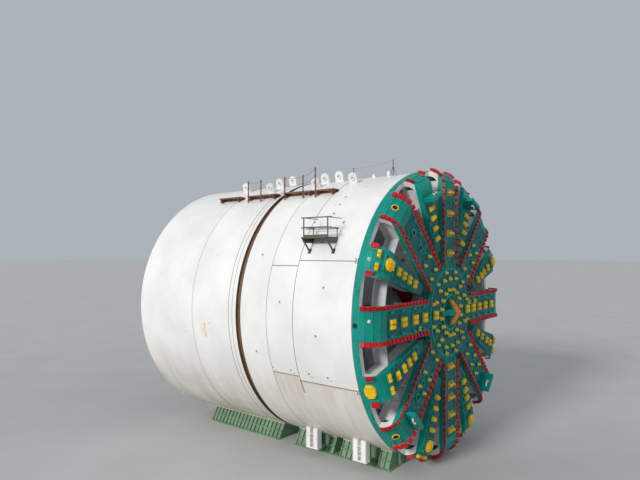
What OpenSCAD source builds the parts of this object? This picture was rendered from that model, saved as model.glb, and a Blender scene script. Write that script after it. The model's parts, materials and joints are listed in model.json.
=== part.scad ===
// Shield tunnel boring machine with its cutterhead in its working place, on its two assembly cradles.
// +Z is up, the machine axis runs along Y, and the cutterhead faces -Y.
// A depth is a distance behind the plane of the shield's front rim, towards +Y.

/* [Shield] */
// Outer radius of the shield
shield_r = 8700; // [8650:10:8720]
// Thickness of the shield skin
skin_t = 120; // [80:10:140]
// Depth of the rear end of the front shield, at the articulation
front_l = 8020; // [7900:20:8100]
// Length of the open articulation band between the front and the tail shield
band_l = 420; // [360:20:460]
// Depth of the rear end of the tail shield
tail_end = 18200; // [18000:50:18600]
// Height of the shield's lowest point above the floor
floor_gap = 250; // [200:10:300]
// Depth of the front face of the bulkhead
bulkhead_d = 2400; // [2380:10:2450]
// Thickness of the bulkhead
bulkhead_t = 350; // [300:10:400]

/* [Cutterhead] */
// How far the cutterhead stands proud of the shield all round
overcut = 40; // [30:5:80]
// Running gap between the cutterhead and the shield's rim
head_gap = 60; // [50:5:80]
// Length of the straight skirt of the cutterhead
skirt_l = 380; // [360:10:420]
// Radius of the dome edge
dome_r = 950; // [900:10:1000]
// Thickness of the face plates
plate_t = 300; // [260:10:350]
// Width of a main spoke's face plate
spoke_w = 1860; // [1760:20:1900]
// Width of the web behind a main spoke's face plate
web_w = 1400; // [1340:20:1500]
// Distance from the axis to the flats of the centre plate
centre_a = 2750; // [2700:10:2800]
// Radius of the tip of a secondary arm
arm_tip_r = 4000; // [4000:50:4400]
// Width of a secondary arm at the rim
arm_w = 1700; // [1500:20:1740]
// Height of the centre bit above the face
centre_bit_h = 620; // [560:10:700]

/* [Drive] */
// Radius of the circle of the legs' centres
leg_pcr = 4975; // [4950:5:5000]
// Side of a leg's square section
leg_w = 1300; // [1200:10:1340]
// Depth of the rear end of the legs
leg_end = 1550; // [1500:10:1600]
// Outer radius of the drive ring
drive_ro = 5400; // [5300:10:5500]
// Inner radius of the drive ring
drive_ri = 4200; // [4100:10:4300]
// Radius of the hub drum
hub_r = 1600; // [1550:10:1650]
// Number of drive motors
motor_n = 22; // [20:2:24]

/* [Thrust jacks] */
// Distance of the jacks' centres inside the shield's outer radius
jack_inset = 650; // [630:5:670]
// Number of jack shoes, each on two jacks
shoe_n = 28; // [20, 24, 28]
// Space between the articulation sleeve and the thrust ring
jack_gap = 350; // [250:20:450]
// Length of a jack barrel
barrel_l = 4150; // [4100:10:4200]
// Radius of a jack barrel
barrel_r = 210; // [200:5:215]
// Radius of a jack rod
rod_r = 150; // [140:5:155]
// Travel of the jacks
jack_travel = 2100; // [1900:50:2150]

/* [Screw conveyor] */
// Slope of the screw conveyor
screw_tilt = 20; // [19:0.5:21]
// Height of the screw's front end above the shield's lowest point
screw_rise = 1950; // [1900:10:2000]
// Depth of the screw casing's front end
screw_d = 2330; // [2300:10:2340]
// Length of the screw casing
screw_l = 15700; // [15500:50:15800]
// Outer radius of the screw casing
casing_r = 790; // [780:5:800]
// Wall of the screw casing
casing_t = 40; // [30:5:45]
// Pitch of the screw flight
flight_pitch = 1250; // [1150:50:1350]

/* [Erector] */
// Inner radius of the erector ring
erector_ri = 4700; // [4650:10:4750]
// Outer radius of the erector ring
erector_ro = 5500; // [5450:10:5520]
// Depth of the front face of the erector ring
erector_d = 12300; // [12280:10:12400]
// Radial travel of the segment gripper
gripper_travel = 1200; // [1000:50:1250]

/* [Cradles] */
// Half width of a cradle over its side ribs, at the foot
cradle_hw = 4050; // [4000:10:4100]
// Half width of a cradle over its side ribs, at the top
cradle_top = 3500; // [3450:10:3550]
// Depth of the front end of the front cradle
cradle1_d = 500; // [400:50:600]
// Length of the front cradle
cradle1_l = 7250; // [7250:50:7300]
// Space between the two cradles
cradle_gap = 1350; // [1250:50:1400]
// Length of the rear cradle
cradle2_l = 6850; // [6700:50:7000]
// Spacing of the ribs on the cradles' sides
rib_pitch = 370; // [340:10:400]

/* [Hidden] */

$fn = 96;
// Facets of a large circle that trims another piece
cut_fn = 360;
seat = 0.3;
// Running gap at a pin, a rod or a guide, and at a large round face
pin_gap = 0.5;
face_gap = 1;
run_gap = 20;
axis_h = shield_r + floor_gap;
head_r = shield_r + overcut;
head_t = skirt_l + dome_r;
flat_r = head_r - dome_r;
skin_ri = shield_r - skin_t;
tail_d = front_l + band_l;
// How far the articulation sleeve reaches into the tail shield
sleeve_tail = 510;
// Length of the thrust ring, whose rear face carries the jacks
thrust_l = 900;
jack_d = tail_d + sleeve_tail + jack_gap + thrust_l;
cradle2_d = cradle1_d + cradle1_l + cradle_gap;
nose = head_gap + head_t + seat + centre_bit_h;
rim_y = nose - (nose + tail_end) / 2;
screw_drop = shield_r - screw_rise;
jack_pcr = shield_r - jack_inset;
// Inner radius of the ring girder that carries the jacks, the erector and the decks
ring_ri = shield_r - 1450;
// Number of main spokes, which is also the number of secondary arms and of legs
spoke_n = 8;
spoke_step = 360 / spoke_n;
// Number of additive pipes on the hub drum
pipe_n = 6;
white = [0.88, 0.88, 0.86];
teal = [0.0, 0.52, 0.47];
steel = [0.55, 0.56, 0.58];

// Height of the shield's underside at a distance beside the axis
function under_z(x) = axis_h - sqrt(pow(shield_r, 2) - pow(x, 2));

// Local frame on the machine axis at a depth: z points forward, y up.
module at_depth(d) {
    translate([0, rim_y + d, axis_h]) rotate([90, 0, 0]) children();
}

module tube(d, l, ro, ri) {
    at_depth(d + l) difference() {
        cylinder(h = l, r = ro);
        translate([0, 0, -1]) cylinder(h = l + 2, r = ri);
    }
}

// Local frame of the cutterhead: z = 0 at the back edge of its skirt.
module head_frame() {
    at_depth(-head_gap) children();
}

module shield_bore(r) {
    at_depth(tail_end + 100) cylinder(h = tail_end + 200, r = r, $fn = cut_fn);
}

module front_shield_skin() {
    color(white) tube(0, front_l, shield_r, skin_ri);
}

// Hatches: centre across, centre height above the axis
// The hatches stand in the space between the drive ring and the shield
hatch_room = skin_ri - drive_ro;
hatch_w = 0.393 * hatch_room;
hatch_h = 0.472 * hatch_room;
hatch_a = [25.6, 36.1];
hatch_r = [drive_ro + 0.43 * hatch_room, drive_ro + 0.695 * hatch_room];
hatches = [for (i = [0, 1]) hatch_r[i] * [sin(hatch_a[i]), cos(hatch_a[i])]];
door_t = 90;
door_rim = 60;

module hatch_outline(grow) {
    r = hatch_w / 2 + grow;
    translate([-r, -hatch_h / 2 - grow]) square([2 * r, hatch_h - hatch_w / 2 + grow]);
    translate([0, (hatch_h - hatch_w) / 2]) circle(r = r);
}

module screw_frame() {
    translate([0, rim_y + screw_d, axis_h - screw_drop]) rotate([-90 + screw_tilt, 0, 0]) children();
}

module bulkhead() {
    color([0.8, 0.81, 0.82]) difference() {
        at_depth(bulkhead_d + bulkhead_t) cylinder(h = bulkhead_t, r = skin_ri - seat);
        for (h = hatches) at_depth(bulkhead_d + bulkhead_t + 1) translate([h[0], h[1], 0])
            linear_extrude(bulkhead_t + 2) hatch_outline(-door_rim);
        screw_frame() translate([0, 0, -1200]) cylinder(h = 3000, r = casing_r + seat, $fn = cut_fn);
        at_depth(bulkhead_d + bulkhead_t + 1) cylinder(h = bulkhead_t + 2, r = neck_r + face_gap);
    }
}

frame_t = 40;
door_gap = 6;
strap_t = 40;
strap_h = 120;
strap_zs = [-450, 250];
hinge_x = hatch_w / 2 + 50;
hinge_r = 16;
hinge_z = frame_t + door_gap + door_t + strap_t / 2;

// Hinge pins and their lugs beside a hatch
module hinge_lugs() {
    for (z = strap_zs) translate([-hinge_x, z, 0]) {
        translate([0, -45, hinge_z]) rotate([-90, 0, 0]) cylinder(h = strap_h + 90, r = hinge_r);
        for (y = [-45, strap_h + 5]) translate([-30, y, 0]) cube([60, 40, hinge_z + 30]);
    }
}

module hatch_frames() {
    color([0.3, 0.33, 0.38]) for (h = hatches)
        at_depth(bulkhead_d) translate([h[0], h[1], 0]) {
            difference() {
                linear_extrude(frame_t) hatch_outline(100);
                translate([0, 0, -1]) linear_extrude(frame_t + 2) hatch_outline(-door_rim);
            }
            hinge_lugs();
        }
}

// A hatch door with its two hinge straps
module hatch_door(h) {
    color([0.12, 0.17, 0.24]) at_depth(bulkhead_d - frame_t - door_gap) translate([h[0], h[1], 0]) {
        linear_extrude(door_t) hatch_outline(0);
        for (z = strap_zs) translate([0, z, door_t]) difference() {
            union() {
                translate([-hinge_x, 0, 0]) cube([hinge_x, strap_h, strap_t]);
                translate([-hinge_x, 0, strap_t / 2]) rotate([-90, 0, 0]) cylinder(h = strap_h, r = 30);
            }
            translate([-hinge_x, -1, strap_t / 2]) rotate([-90, 0, 0])
                cylinder(h = strap_h + 2, r = hinge_r + pin_gap);
        }
    }
}

module hatch_door_left() { hatch_door(hatches[0]); }

module hatch_door_right() { hatch_door(hatches[1]); }

bar_r = 250;
bar_l = 1850;
bar_pcr = skin_ri - 1730;
module fixed_mixing_bars() {
    color(white) for (a = [40, 126, 222, 306]) at_depth(bulkhead_d) rotate([0, 0, a])
        translate([bar_pcr, 0, 0]) cylinder(h = bar_l, r = bar_r);
}

bearing_ro = drive_ro - 500;
bearing_ri = drive_ri - 900;
bearing_l = 1150;
motor_pcr = (bearing_ro + bearing_ri) / 2;
motor_r = 330;
motor_l = 900;

module bearing_housing() {
    color(white) difference() {
        union() {
            tube(bulkhead_d + bulkhead_t, bearing_l, bearing_ro, bearing_ri);
            tube(bulkhead_d + bulkhead_t, 250, bearing_ro + 250, bearing_ri);
        }
        for (i = [0 : motor_n - 1]) if (motor_ok(i)) at_motor(i) cylinder(h = 200, r = 80);
    }
}

function motor_a(i) = -90 + (i + 0.5) * 360 / motor_n;
function motor_ok(i) = i != 0 && i != motor_n - 1;
motor_d = bulkhead_d + bulkhead_t + bearing_l;

module at_motor(i) {
    at_depth(motor_d) rotate([0, 0, motor_a(i)]) translate([motor_pcr, 0, 0]) children();
}

module drive_motors() {
    color([0.25, 0.35, 0.5]) for (i = [0 : motor_n - 1]) if (motor_ok(i)) at_motor(i) {
        translate([0, 0, -700]) cylinder(h = 700, r = motor_r);
        translate([0, 0, -700 - motor_l]) cylinder(h = motor_l, r = motor_r - 80);
    }
}

lock_l = 3600;
lock_r = 0.229 * hatch_room;
lock_t = 40;
module man_locks() {
    color([0.85, 0.85, 0.82]) for (h = hatches)
        at_depth(bulkhead_d + bulkhead_t + lock_l) translate([h[0], h[1], 0]) difference() {
            cylinder(h = lock_l, r = lock_r);
            translate([0, 0, 60]) cylinder(h = lock_l, r = lock_r - lock_t);
        }
}

// The sleeve is fixed in the front shield. Its ball zone, centred on the pivot, carries the tail shield.
sleeve_r = skin_ri - 40;
sleeve_d = front_l - 520;
sleeve_l = tail_d + sleeve_tail - sleeve_d;
pivot_d = tail_d + 260;
ball_w = 360;
pivot_r = 90;
// The two upright pins on which the tail shield swings, grown by a clearance
module pivot_pins(grow, h) {
    at_depth(pivot_d) for (s = [0, 1]) mirror([0, s, 0]) rotate([-90, 0, 0])
        translate([0, 0, skin_ri - 130]) cylinder(h = h, r = pivot_r + grow);
}

module articulation_sleeve() {
    color([0.35, 0.25, 0.18]) {
        tube(sleeve_d, sleeve_l, sleeve_r, sleeve_r - 100);
        tube(sleeve_d, 440, skin_ri - seat, sleeve_r - 100);
        at_depth(pivot_d) rotate_extrude($fn = cut_fn) intersection() {
            circle(r = skin_ri - face_gap, $fn = cut_fn);
            translate([sleeve_r - 50, -ball_w / 2]) square([300, ball_w]);
        }
        pivot_pins(0, skin_t + 120);
    }
}

journal_r = 150;
mouth_w = 1100;
mouth_l = 1200;
mouth_z = screw_l - 1900;
module screw_casing() {
    color([0.78, 0.79, 0.78]) screw_frame() difference() {
        union() {
            cylinder(h = screw_l, r = casing_r);
            for (i = [1 : 5]) translate([0, 0, i * 2600 - 60]) cylinder(h = 120, r = casing_r + 110);
        }
        translate([0, 0, -1]) cylinder(h = screw_l - 60, r = casing_r - casing_t);
        translate([0, 0, screw_l - 100]) cylinder(h = 200, r = journal_r + pin_gap);
        translate([-mouth_w / 2, 0, mouth_z]) cube([mouth_w, 2 * casing_r, mouth_l]);
    }
}

gate_y = casing_r + 510;
gate_t = 60;
gate_rail_t = 60;
gate_w = mouth_w + 140;
gate_l = mouth_l + 78;
gate_shift = 1300;
// Frame at the middle of the discharge mouth, at the gate's inner face
module gate_frame() {
    screw_frame() translate([0, gate_y, mouth_z + mouth_l / 2]) children();
}

module screw_discharge() {
    rail_l = mouth_w + 200 + gate_shift;
    color([0.78, 0.79, 0.78]) {
        screw_frame() difference() {
            translate([-mouth_w / 2 - 100, 300, mouth_z - 100]) cube([mouth_w + 200, gate_y - 300, mouth_l + 200]);
            cylinder(h = screw_l, r = casing_r + seat, $fn = cut_fn);
            translate([-mouth_w / 2, -10, mouth_z]) cube([mouth_w, 2 * gate_y, mouth_l]);
        }
        gate_frame() for (e = [0, 1]) mirror([0, 0, e]) translate([-mouth_w / 2 - 100, 0, mouth_l / 2 + 40]) {
            translate([0, -40, 0]) cube([rail_l, gate_t + 80 + gate_rail_t, gate_rail_t]);
            translate([0, gate_t + 40, -60]) cube([rail_l, gate_rail_t, 80]);
        }
    }
}

module discharge_gate() {
    color([0.5, 0.35, 0.1]) gate_frame() {
        translate([-gate_w / 2, pin_gap, -gate_l / 2]) cube([gate_w, gate_t, gate_l]);
        for (e = [-1, 1]) translate([-gate_w / 2, gate_t - 10, e * (gate_l / 2 - 34) - 20])
            cube([gate_w, 50 - pin_gap, 40]);
    }
}

shaft_r = 200;
module screw_shaft() {
    color(steel) screw_frame() {
        translate([0, 0, -700]) cylinder(h = screw_l + 560, r = shaft_r);
        translate([0, 0, -900]) cylinder(h = 200, r1 = 90, r2 = shaft_r);
        translate([0, 0, screw_l - 150]) cylinder(h = 400, r = journal_r);
    }
}

flight_r = casing_r - casing_t - 30;
flight_l = 12500;
module screw_flight() {
    color(steel) screw_frame() translate([0, 0, -500])
        linear_extrude(height = flight_l, twist = -360 * flight_l / flight_pitch,
            slices = 20 * flight_l / flight_pitch, segments = 4)
            translate([shaft_r + seat, -90]) square([flight_r - shaft_r - seat, 180]);
}

cradle_h = under_z(cradle_top) - 20;
girder_x = 2600;
girder_t = 250;
rib_w = 150;
rib_t = 40;
// A slab of length l along the machine, its outer face sloping in from x = out at the foot
module cradle_slab(out, l) {
    translate([0, l, 0]) rotate([90, 0, 0]) linear_extrude(l)
        polygon([[girder_x, 0], [out, 0], [out - cradle_hw + cradle_top, cradle_h], [girder_x, cradle_h]]);
}

// A saddle on side girders with ribbed piers, its top cut to the shield.
// The list of piers gives each one's start behind the cradle's front end and its length.
module cradle(d, l, piers) {
    color([0.55, 0.72, 0.6]) difference() {
        translate([0, rim_y + d, 0]) {
            translate([-cradle_hw, 0, 0]) cube([2 * cradle_hw, l, 60]);
            for (s = [0, 1]) mirror([s, 0, 0]) {
                translate([girder_x, 0, 0]) cube([girder_t, l, cradle_h]);
                for (p = piers) translate([0, p[0], 0]) {
                    cradle_slab(cradle_hw - rib_w, p[1]);
                    for (i = [0 : round(p[1] / rib_pitch)])
                        translate([0, i * (p[1] - rib_t) / round(p[1] / rib_pitch), 0])
                            cradle_slab(cradle_hw, rib_t);
                }
            }
            for (i = [0 : 5]) translate([-girder_x - 100, 40 + i * (l - 140) / 5, 0])
                cube([2 * girder_x + 200, 60, cradle_h - 60]);
        }
        shield_bore(shield_r + seat);
    }
}

module front_cradle() {
    cradle(cradle1_d, cradle1_l, [[150, 750], [2100, 1530], [4150, 500], [cradle1_l - 1650, 1600]]);
}

module rear_cradle() { cradle(cradle2_d, cradle2_l, [[0, cradle2_l]]); }

// Channel brackets on the shield's flanks, for jacks that stand on the floor.
// The list gives the depths of their front ends.
bracket_ds = [1500, 5020];
bracket_l = 910;
bracket_x = cradle_hw + 600;
bracket_w = 400;
bracket_flange_l = 350;
bracket_foot = 550;
bracket_foot_t = 60;
bracket_h = under_z(bracket_x + bracket_w) - 70 - bracket_foot;
module jacking_brackets() {
    color(white) difference() {
        for (s = [0, 1], d = bracket_ds) mirror([s, 0, 0])
            translate([bracket_x, rim_y + d, bracket_foot]) {
                cube([bracket_w, bracket_l, bracket_foot_t]);
                cube([100, bracket_l, bracket_h]);
                for (y = [0, bracket_l - bracket_flange_l])
                    translate([0, y, 0]) cube([bracket_w, bracket_flange_l, bracket_h]);
            }
        shield_bore(shield_r + seat);
    }
}

// Padeyes stand on both shoulders of the crown, each plate in a plane through the axis.
// A list gives the depth and the angle from the crown of each pair.
eye_r = 320;
eye_hole_r = 95;
eye_t = 130;
eye_boss_t = 45;
eye_boss_r = 180;
eye_h = 380;
module padeyes(list) {
    color(white) for (s = [-1, 1], e = list) at_depth(e[0]) rotate([0, 0, s * e[1]])
        translate([0, shield_r + eye_h, 0]) rotate([0, 90, 0]) difference() {
            union() {
                translate([0, 0, -eye_t / 2]) cylinder(h = eye_t, r = eye_r);
                translate([-eye_r, seat - eye_h, -eye_t / 2]) cube([2 * eye_r, eye_h, eye_t]);
                translate([0, 0, -eye_t / 2 - eye_boss_t]) cylinder(h = eye_t + 2 * eye_boss_t, r = eye_boss_r);
            }
            translate([0, 0, -eye_t]) cylinder(h = 2 * eye_t, r = eye_hole_r);
        }
}

module front_padeyes() {
    padeyes([[front_l - 4620, 23], [front_l - 2770, 15.5], [front_l - 1820, 24.5], [front_l - 1820, 17.5]]);
}

module rear_padeyes() {
    padeyes([[tail_d + 1060, 14], [tail_d + 1660, 25.5], [tail_d + 1760, 18], [tail_d + 4760, 20.5]]);
}

// A plank deck on bracket frames with posts, on the -X shoulder
plank_x = 5050;
plank_w = 630;
plank_z = sqrt(pow(shield_r, 2) - pow(plank_x - plank_w, 2)) + 7;
plank_t = 50;
bracket_drop = 250;
post_w = 60;
post_h = 1100;
module crown_platform(d, l, posts, h = post_h) {
    translate([0, rim_y + d, axis_h]) {
        translate([-plank_x, 0, plank_z]) cube([plank_w, l, plank_t]);
        for (y = [150, l - 150 - post_w]) {
            translate([-plank_x, y, plank_z - bracket_drop]) difference() {
                cube([plank_w, post_w, bracket_drop]);
                translate([plank_x, -10, bracket_drop - plank_z]) rotate([-90, 0, 0])
                    cylinder(h = post_w + 20, r = shield_r + seat, $fn = cut_fn);
            }
        }
        for (y = posts) translate([-plank_x - post_w + 10, y, plank_z - 400]) cube([post_w, post_w, h + 400]);
    }
}

// Lengths of the four crown platforms, front to rear
walk_l = [1500, 2400, 2600, 2100];
module front_platforms() {
    color([0.5, 0.3, 0.22]) {
        crown_platform(front_l - 4220, walk_l[0], [walk_l[0] - 150], 1500);
        crown_platform(front_l - 2470, walk_l[1], [600, walk_l[1] - 250]);
    }
}

module rear_platforms() {
    color([0.5, 0.3, 0.22]) {
        crown_platform(tail_d + 160, walk_l[2], [1250, walk_l[2] - 150]);
        crown_platform(tail_d + 3560, walk_l[3], []);
    }
}

side_z = shield_r / 2 + 100;
// Distance of the shield's side from the axis at that height, and of the platform's outer edge
side_x = sqrt(pow(shield_r, 2) - pow(side_z, 2));
side_xo = side_x + 925;
side_d = 1700;
side_l = 1700;
rail_h = 1150;
module side_platform() {
    color([0.6, 0.6, 0.6]) translate([0, rim_y + side_d, axis_h]) difference() {
        union() {
            translate([-side_xo, 0, side_z]) cube([1200, side_l, 50]);
            for (y = [0, side_l - 50]) translate([-side_xo, y, side_z]) {
                cube([50, 50, rail_h]);
                translate([0, 0, -250]) cube([1300, 50, 250]);
            }
            for (z = [rail_h - 50, rail_h / 2]) translate([-side_xo, 0, side_z + z]) cube([50, side_l, 50]);
        }
        rotate([-90, 0, 0]) translate([0, 0, -10]) cylinder(h = side_l + 20, r = shield_r + seat, $fn = cut_fn);
    }
}

// Half section of the dome, inset from its outer surface
module dome_section(inset) {
    square([flat_r, head_t - inset]);
    square([head_r - inset, skirt_l]);
    translate([flat_r, skirt_l]) intersection() {
        circle(r = dome_r - inset);
        square(dome_r);
    }
}

module dome_shell() {
    rotate_extrude($fn = cut_fn) difference() {
        dome_section(0);
        dome_section(plate_t);
        translate([0, -1]) square([head_r + 10, skirt_l + 1]);
    }
}

module dome_core() {
    rotate_extrude($fn = cut_fn) dome_section(plate_t - 50);
}

module centre_plate() {
    color(teal) head_frame() {
        translate([0, 0, head_t - plate_t]) rotate([0, 0, spoke_step / 2])
            cylinder(h = plate_t, r = centre_a / cos(spoke_step / 2), $fn = 8);
        cylinder(h = head_t - plate_t, r = 1700);
    }
}

copy_r = 130;
copy_z = skirt_l / 2;
copy_x = head_r - 1040;
module copy_bore(r) {
    rotate([0, -90, 0]) translate([copy_z, 0, copy_x - 300]) cylinder(h = 1600, r = r);
}

// Radius where the webs stop below the dome, and the height of their feet, which reach the rim
web_r = head_r - 640;
foot_h = skirt_l - 40;
foot_r = head_r - plate_t - seat;

module main_spoke() {
    intersection() {
        dome_shell();
        translate([centre_a + seat, -spoke_w / 2, 0]) cube([head_r, spoke_w, head_t + 10]);
    }
    intersection() {
        dome_core();
        translate([centre_a + seat, -web_w / 2, 0]) cube([web_r - centre_a, web_w, head_t - plate_t + 20]);
    }
    intersection() {
        cylinder(h = foot_h, r = foot_r, $fn = cut_fn);
        translate([web_r - 400, -web_w / 2, 0]) cube([head_r - web_r, web_w, foot_h]);
    }
}

copy_k = 4;
module main_spokes() {
    color(teal) head_frame() {
        for (k = [0 : spoke_n - 1]) if (k != copy_k) rotate([0, 0, k * spoke_step]) main_spoke();
        difference() {
            rotate([0, 0, copy_k * spoke_step]) main_spoke();
            copy_bore(copy_r + pin_gap);
        }
    }
}

arm_tip_w = 600;
// Plan of a secondary arm, narrowed on each side, out to a radius
module arm_plan(narrow, r) {
    tip = arm_tip_w / 2 - narrow;
    wide = arm_w / 2 - narrow;
    side = tip + (wide - tip) * (r - arm_tip_r) / (head_r - arm_tip_r);
    polygon([[arm_tip_r + narrow, -tip], [r, -side], [r, side], [arm_tip_r + narrow, tip]]);
}

arm_web_z = 100;
module secondary_arms() {
    color(teal) head_frame() for (k = [0 : spoke_n - 1]) rotate([0, 0, (k + 0.5) * spoke_step]) {
        intersection() {
            dome_shell();
            linear_extrude(head_t + 10) arm_plan(0, head_r + 20);
        }
        intersection() {
            dome_core();
            translate([0, 0, arm_web_z]) linear_extrude(head_t - plate_t + 20 - arm_web_z) arm_plan(150, web_r);
        }
        intersection() {
            cylinder(h = foot_h, r = foot_r, $fn = cut_fn);
            translate([0, 0, arm_web_z]) linear_extrude(foot_h - arm_web_z) arm_plan(150, head_r);
        }
    }
}

module head_rim() {
    color(teal) difference() {
        tube(-head_gap - skirt_l, skirt_l, head_r, head_r - plate_t);
        head_frame() copy_bore(copy_r + pin_gap);
    }
}

// Ring wall between the webs of spokes and arms, behind the outer ends of the openings
wall_r = head_r - 1790;
wall_t = 60;
wall_h = head_t - plate_t - 180;
module opening_walls() {
    color(white) head_frame() difference() {
        cylinder(h = wall_h, r = wall_r + wall_t / 2, $fn = cut_fn);
        translate([0, 0, -10]) cylinder(h = wall_h + 20, r = wall_r - wall_t / 2, $fn = cut_fn);
        for (k = [0 : spoke_n - 1]) rotate([0, 0, k * spoke_step]) {
            translate([wall_r - 500, -web_w / 2 - seat, -10]) cube([1000, web_w + 2 * seat, wall_h + 20]);
            rotate([0, 0, spoke_step / 2]) translate([0, 0, -10]) linear_extrude(wall_h + 20)
                arm_plan(150 - seat, web_r);
        }
    }
}

gusset_r = head_r - plate_t - seat;
module rim_gussets() {
    color(white) head_frame() for (k = [0 : 2 * spoke_n - 1], a = [-2.2, 0, 2.2])
        rotate([0, 0, (k + 0.5) * spoke_step / 2 + a + (k % 2 == 0 ? 0.6 : -0.6)])
            rotate([90, 0, 0]) translate([0, 0, -30]) linear_extrude(60)
                polygon([[gusset_r - 500, 0], [gusset_r - 0.1, 0], [gusset_r - 0.1, skirt_l - 60]]);
}

fish_w = 1700;
fish_t = 320;
// One blade of the centre bit, seen from its side
module fish_blade(h) {
    rotate([90, 0, 0]) translate([0, 0, -fish_t / 2]) linear_extrude(fish_t)
        polygon([[-fish_w / 2, 0], [fish_w / 2, 0], [fish_w / 2 - 180, 170], [0, h], [180 - fish_w / 2, 170]]);
}

module centre_bit() {
    color(teal) head_frame() translate([0, 0, head_t + seat]) {
        fish_blade(centre_bit_h);
        rotate([0, 0, 90]) fish_blade(centre_bit_h - 60);
    }
}

// Angle of the dome's edge at arc length s from the axis, and the distance from the axis there
function dome_a(s) = s > flat_r ? (s - flat_r) / dome_r * 180 / PI : 0;
function dome_x(s) = min(s, flat_r) + dome_r * sin(dome_a(s));

// Places children on the outer surface at arc length s, a distance off beside the radial line, z outwards
module on_dome(s, off = 0) {
    a = asin(off / dome_x(s));
    rotate([0, 0, a]) translate([dome_x(s), 0, skirt_l + dome_r * cos(dome_a(s))])
        rotate([0, dome_a(s), 0]) rotate([0, 0, -a]) children();
}

// Places a block of a length, width and height on the outer surface, at arc length at and a distance off
module block(at, off, l, w, h) {
    on_dome(at, off) translate([-l / 2, -w / 2, seat]) cube([l, w, h]);
}

bit_pitch = 385;
bit_n = 14;
bit_s = 3150;
bit_h = 150;
bar_pitch = 260;
bar_s = flat_r + 710;
// Drag bits along both edges of each main spoke, closed up into a bar at each opening's outer corner
module scraper_bits() {
    color([0.8, 0.1, 0.08]) head_frame() for (k = [0 : spoke_n - 1], e = [-1, 1]) {
        rotate([0, 0, k * spoke_step]) {
            for (i = [0 : bit_n - 1]) block(bit_s + i * bit_pitch, e * (spoke_w / 2 - 60), 240, 250, bit_h);
            for (i = [0 : 2]) block(bar_s + i * bar_pitch, e * (spoke_w / 2 - 60), 250, 250, bit_h);
        }
        rotate([0, 0, (k + 0.5) * spoke_step]) block(bar_s + bar_pitch * 1.5, e * (arm_w / 2 - 120), 420, 240, bit_h);
    }
}

cluster_r = [1400, 2050];
// Places of the lifting lugs round the head, in steps of a main spoke; the halves are secondary arms
lug_ks = [1.5, 2.5, 5, 7];
module face_bits() {
    color([0.9, 0.75, 0.05]) head_frame() for (k = [0 : spoke_n - 1]) {
        rotate([0, 0, k * spoke_step]) {
            if (k % 4 == 0) for (i = [0 : 3]) block(centre_a + 590 + i * 1240, 0, 380, 620, 190);
            if (k % 4 == 2) for (i = [0 : 6], e = [-1, 1]) block(centre_a + 500 + i * 620, e * 200, 240, 200, 150);
            if (k % 2 == 1) for (i = [0 : 3], e = [-1, 1]) block(centre_a + 600 + i * 950, e * 470, 220, 220, 140);
        }
        rotate([0, 0, (k + 0.5) * spoke_step]) {
            for (i = [0 : 3]) block(arm_tip_r + 1050 + i * 640, 0, 280, 400, 170);
            if (len(search(k + 0.5, lug_ks)) == 0) block(flat_r - 60, 0, 560, 620, 140);
            for (e = [-1, 1]) block(flat_r + 640, e * 320, 260, 230, 150);
            for (r = cluster_r) rotate([0, 0, 11.25]) block(r, r == cluster_r[0] ? 0 : 190, 210, 200, 200);
            rotate([0, 0, -11.25]) block(cluster_r[1], 190, 210, 200, 200);
        }
    }
}

lug_r = 7450;
lug_t = 220;
lug_w = 1300;
lug_h = 620;
lug_hole_r = 130;
lug_hole_z = 400;
module head_lugs() {
    color(teal) head_frame() for (k = lug_ks) rotate([0, 0, k * spoke_step])
        translate([lug_r - lug_t / 2, 0, head_t + seat]) difference() {
            translate([0, -lug_w / 2, 0]) cube([lug_t, lug_w, lug_h]);
            translate([-10, 0, lug_hole_z]) rotate([0, 90, 0]) cylinder(h = lug_t + 20, r = lug_hole_r);
        }
}

head_bar_l = 960;
head_bar_x = head_r - 1140;
module head_mixing_bars() {
    color(white) head_frame() for (k = [0 : 2 : spoke_n - 1]) rotate([0, 0, k * spoke_step])
        translate([head_bar_x, 0, -head_bar_l]) cylinder(h = head_bar_l, r = 225);
}

module leg_seats() {
    color([0.3, 0.18, 0.1]) head_frame() for (k = [0 : spoke_n - 1]) rotate([0, 0, k * spoke_step])
        translate([leg_pcr - leg_w / 2, -leg_w / 2, seat - head_gap]) cube([leg_w, leg_w, head_gap - seat]);
}

module legs() {
    color(white) at_depth(leg_end) for (k = [0 : spoke_n - 1]) rotate([0, 0, k * spoke_step])
        translate([leg_pcr - leg_w / 2, -leg_w / 2, 0]) cube([leg_w, leg_w, leg_end]);
}

module drive_ring() {
    color(white) tube(leg_end, bulkhead_d - head_gap - leg_end, drive_ro, drive_ri);
}

neck_r = 2200;
hub_ring_r = 1540;
hub_ring_l = 500;
hub_drum_l = 650;
pipe_r = 235;
pipe_end_r = 3200;
module hub_drum() {
    color([0.6, 0.05, 0.07]) at_depth(hub_ring_l + hub_drum_l) {
        cylinder(h = hub_drum_l, r = hub_r);
        for (i = [0 : pipe_n - 1]) rotate([0, 0, 30 + i * 360 / pipe_n]) translate([0, 0, hub_drum_l / 2]) rotate([0, 90, 0]) {
            cylinder(h = pipe_end_r, r = pipe_r);
            translate([0, 0, pipe_end_r - 120]) cylinder(h = 60, r = pipe_r + 40);
        }
    }
}

module hub_ring() {
    color([0.75, 0.75, 0.74]) {
        tube(-head_gap, hub_ring_l + head_gap, hub_ring_r, 1200);
        tube(hub_ring_l + hub_drum_l, bulkhead_d + bulkhead_t + 300 - hub_ring_l - hub_drum_l, neck_r, 1200);
    }
}

module copy_cutter() {
    color([0.2, 0.2, 0.22]) head_frame() rotate([0, -90, 0]) translate([copy_z, 0, copy_x])
        cylinder(h = head_r - copy_x - 10, r = copy_r);
}

module tail_skin() {
    color(white) difference() {
        tube(tail_d, tail_end - tail_d, shield_r, skin_ri);
        pivot_pins(pin_gap, skin_t + 300);
    }
}

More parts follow.
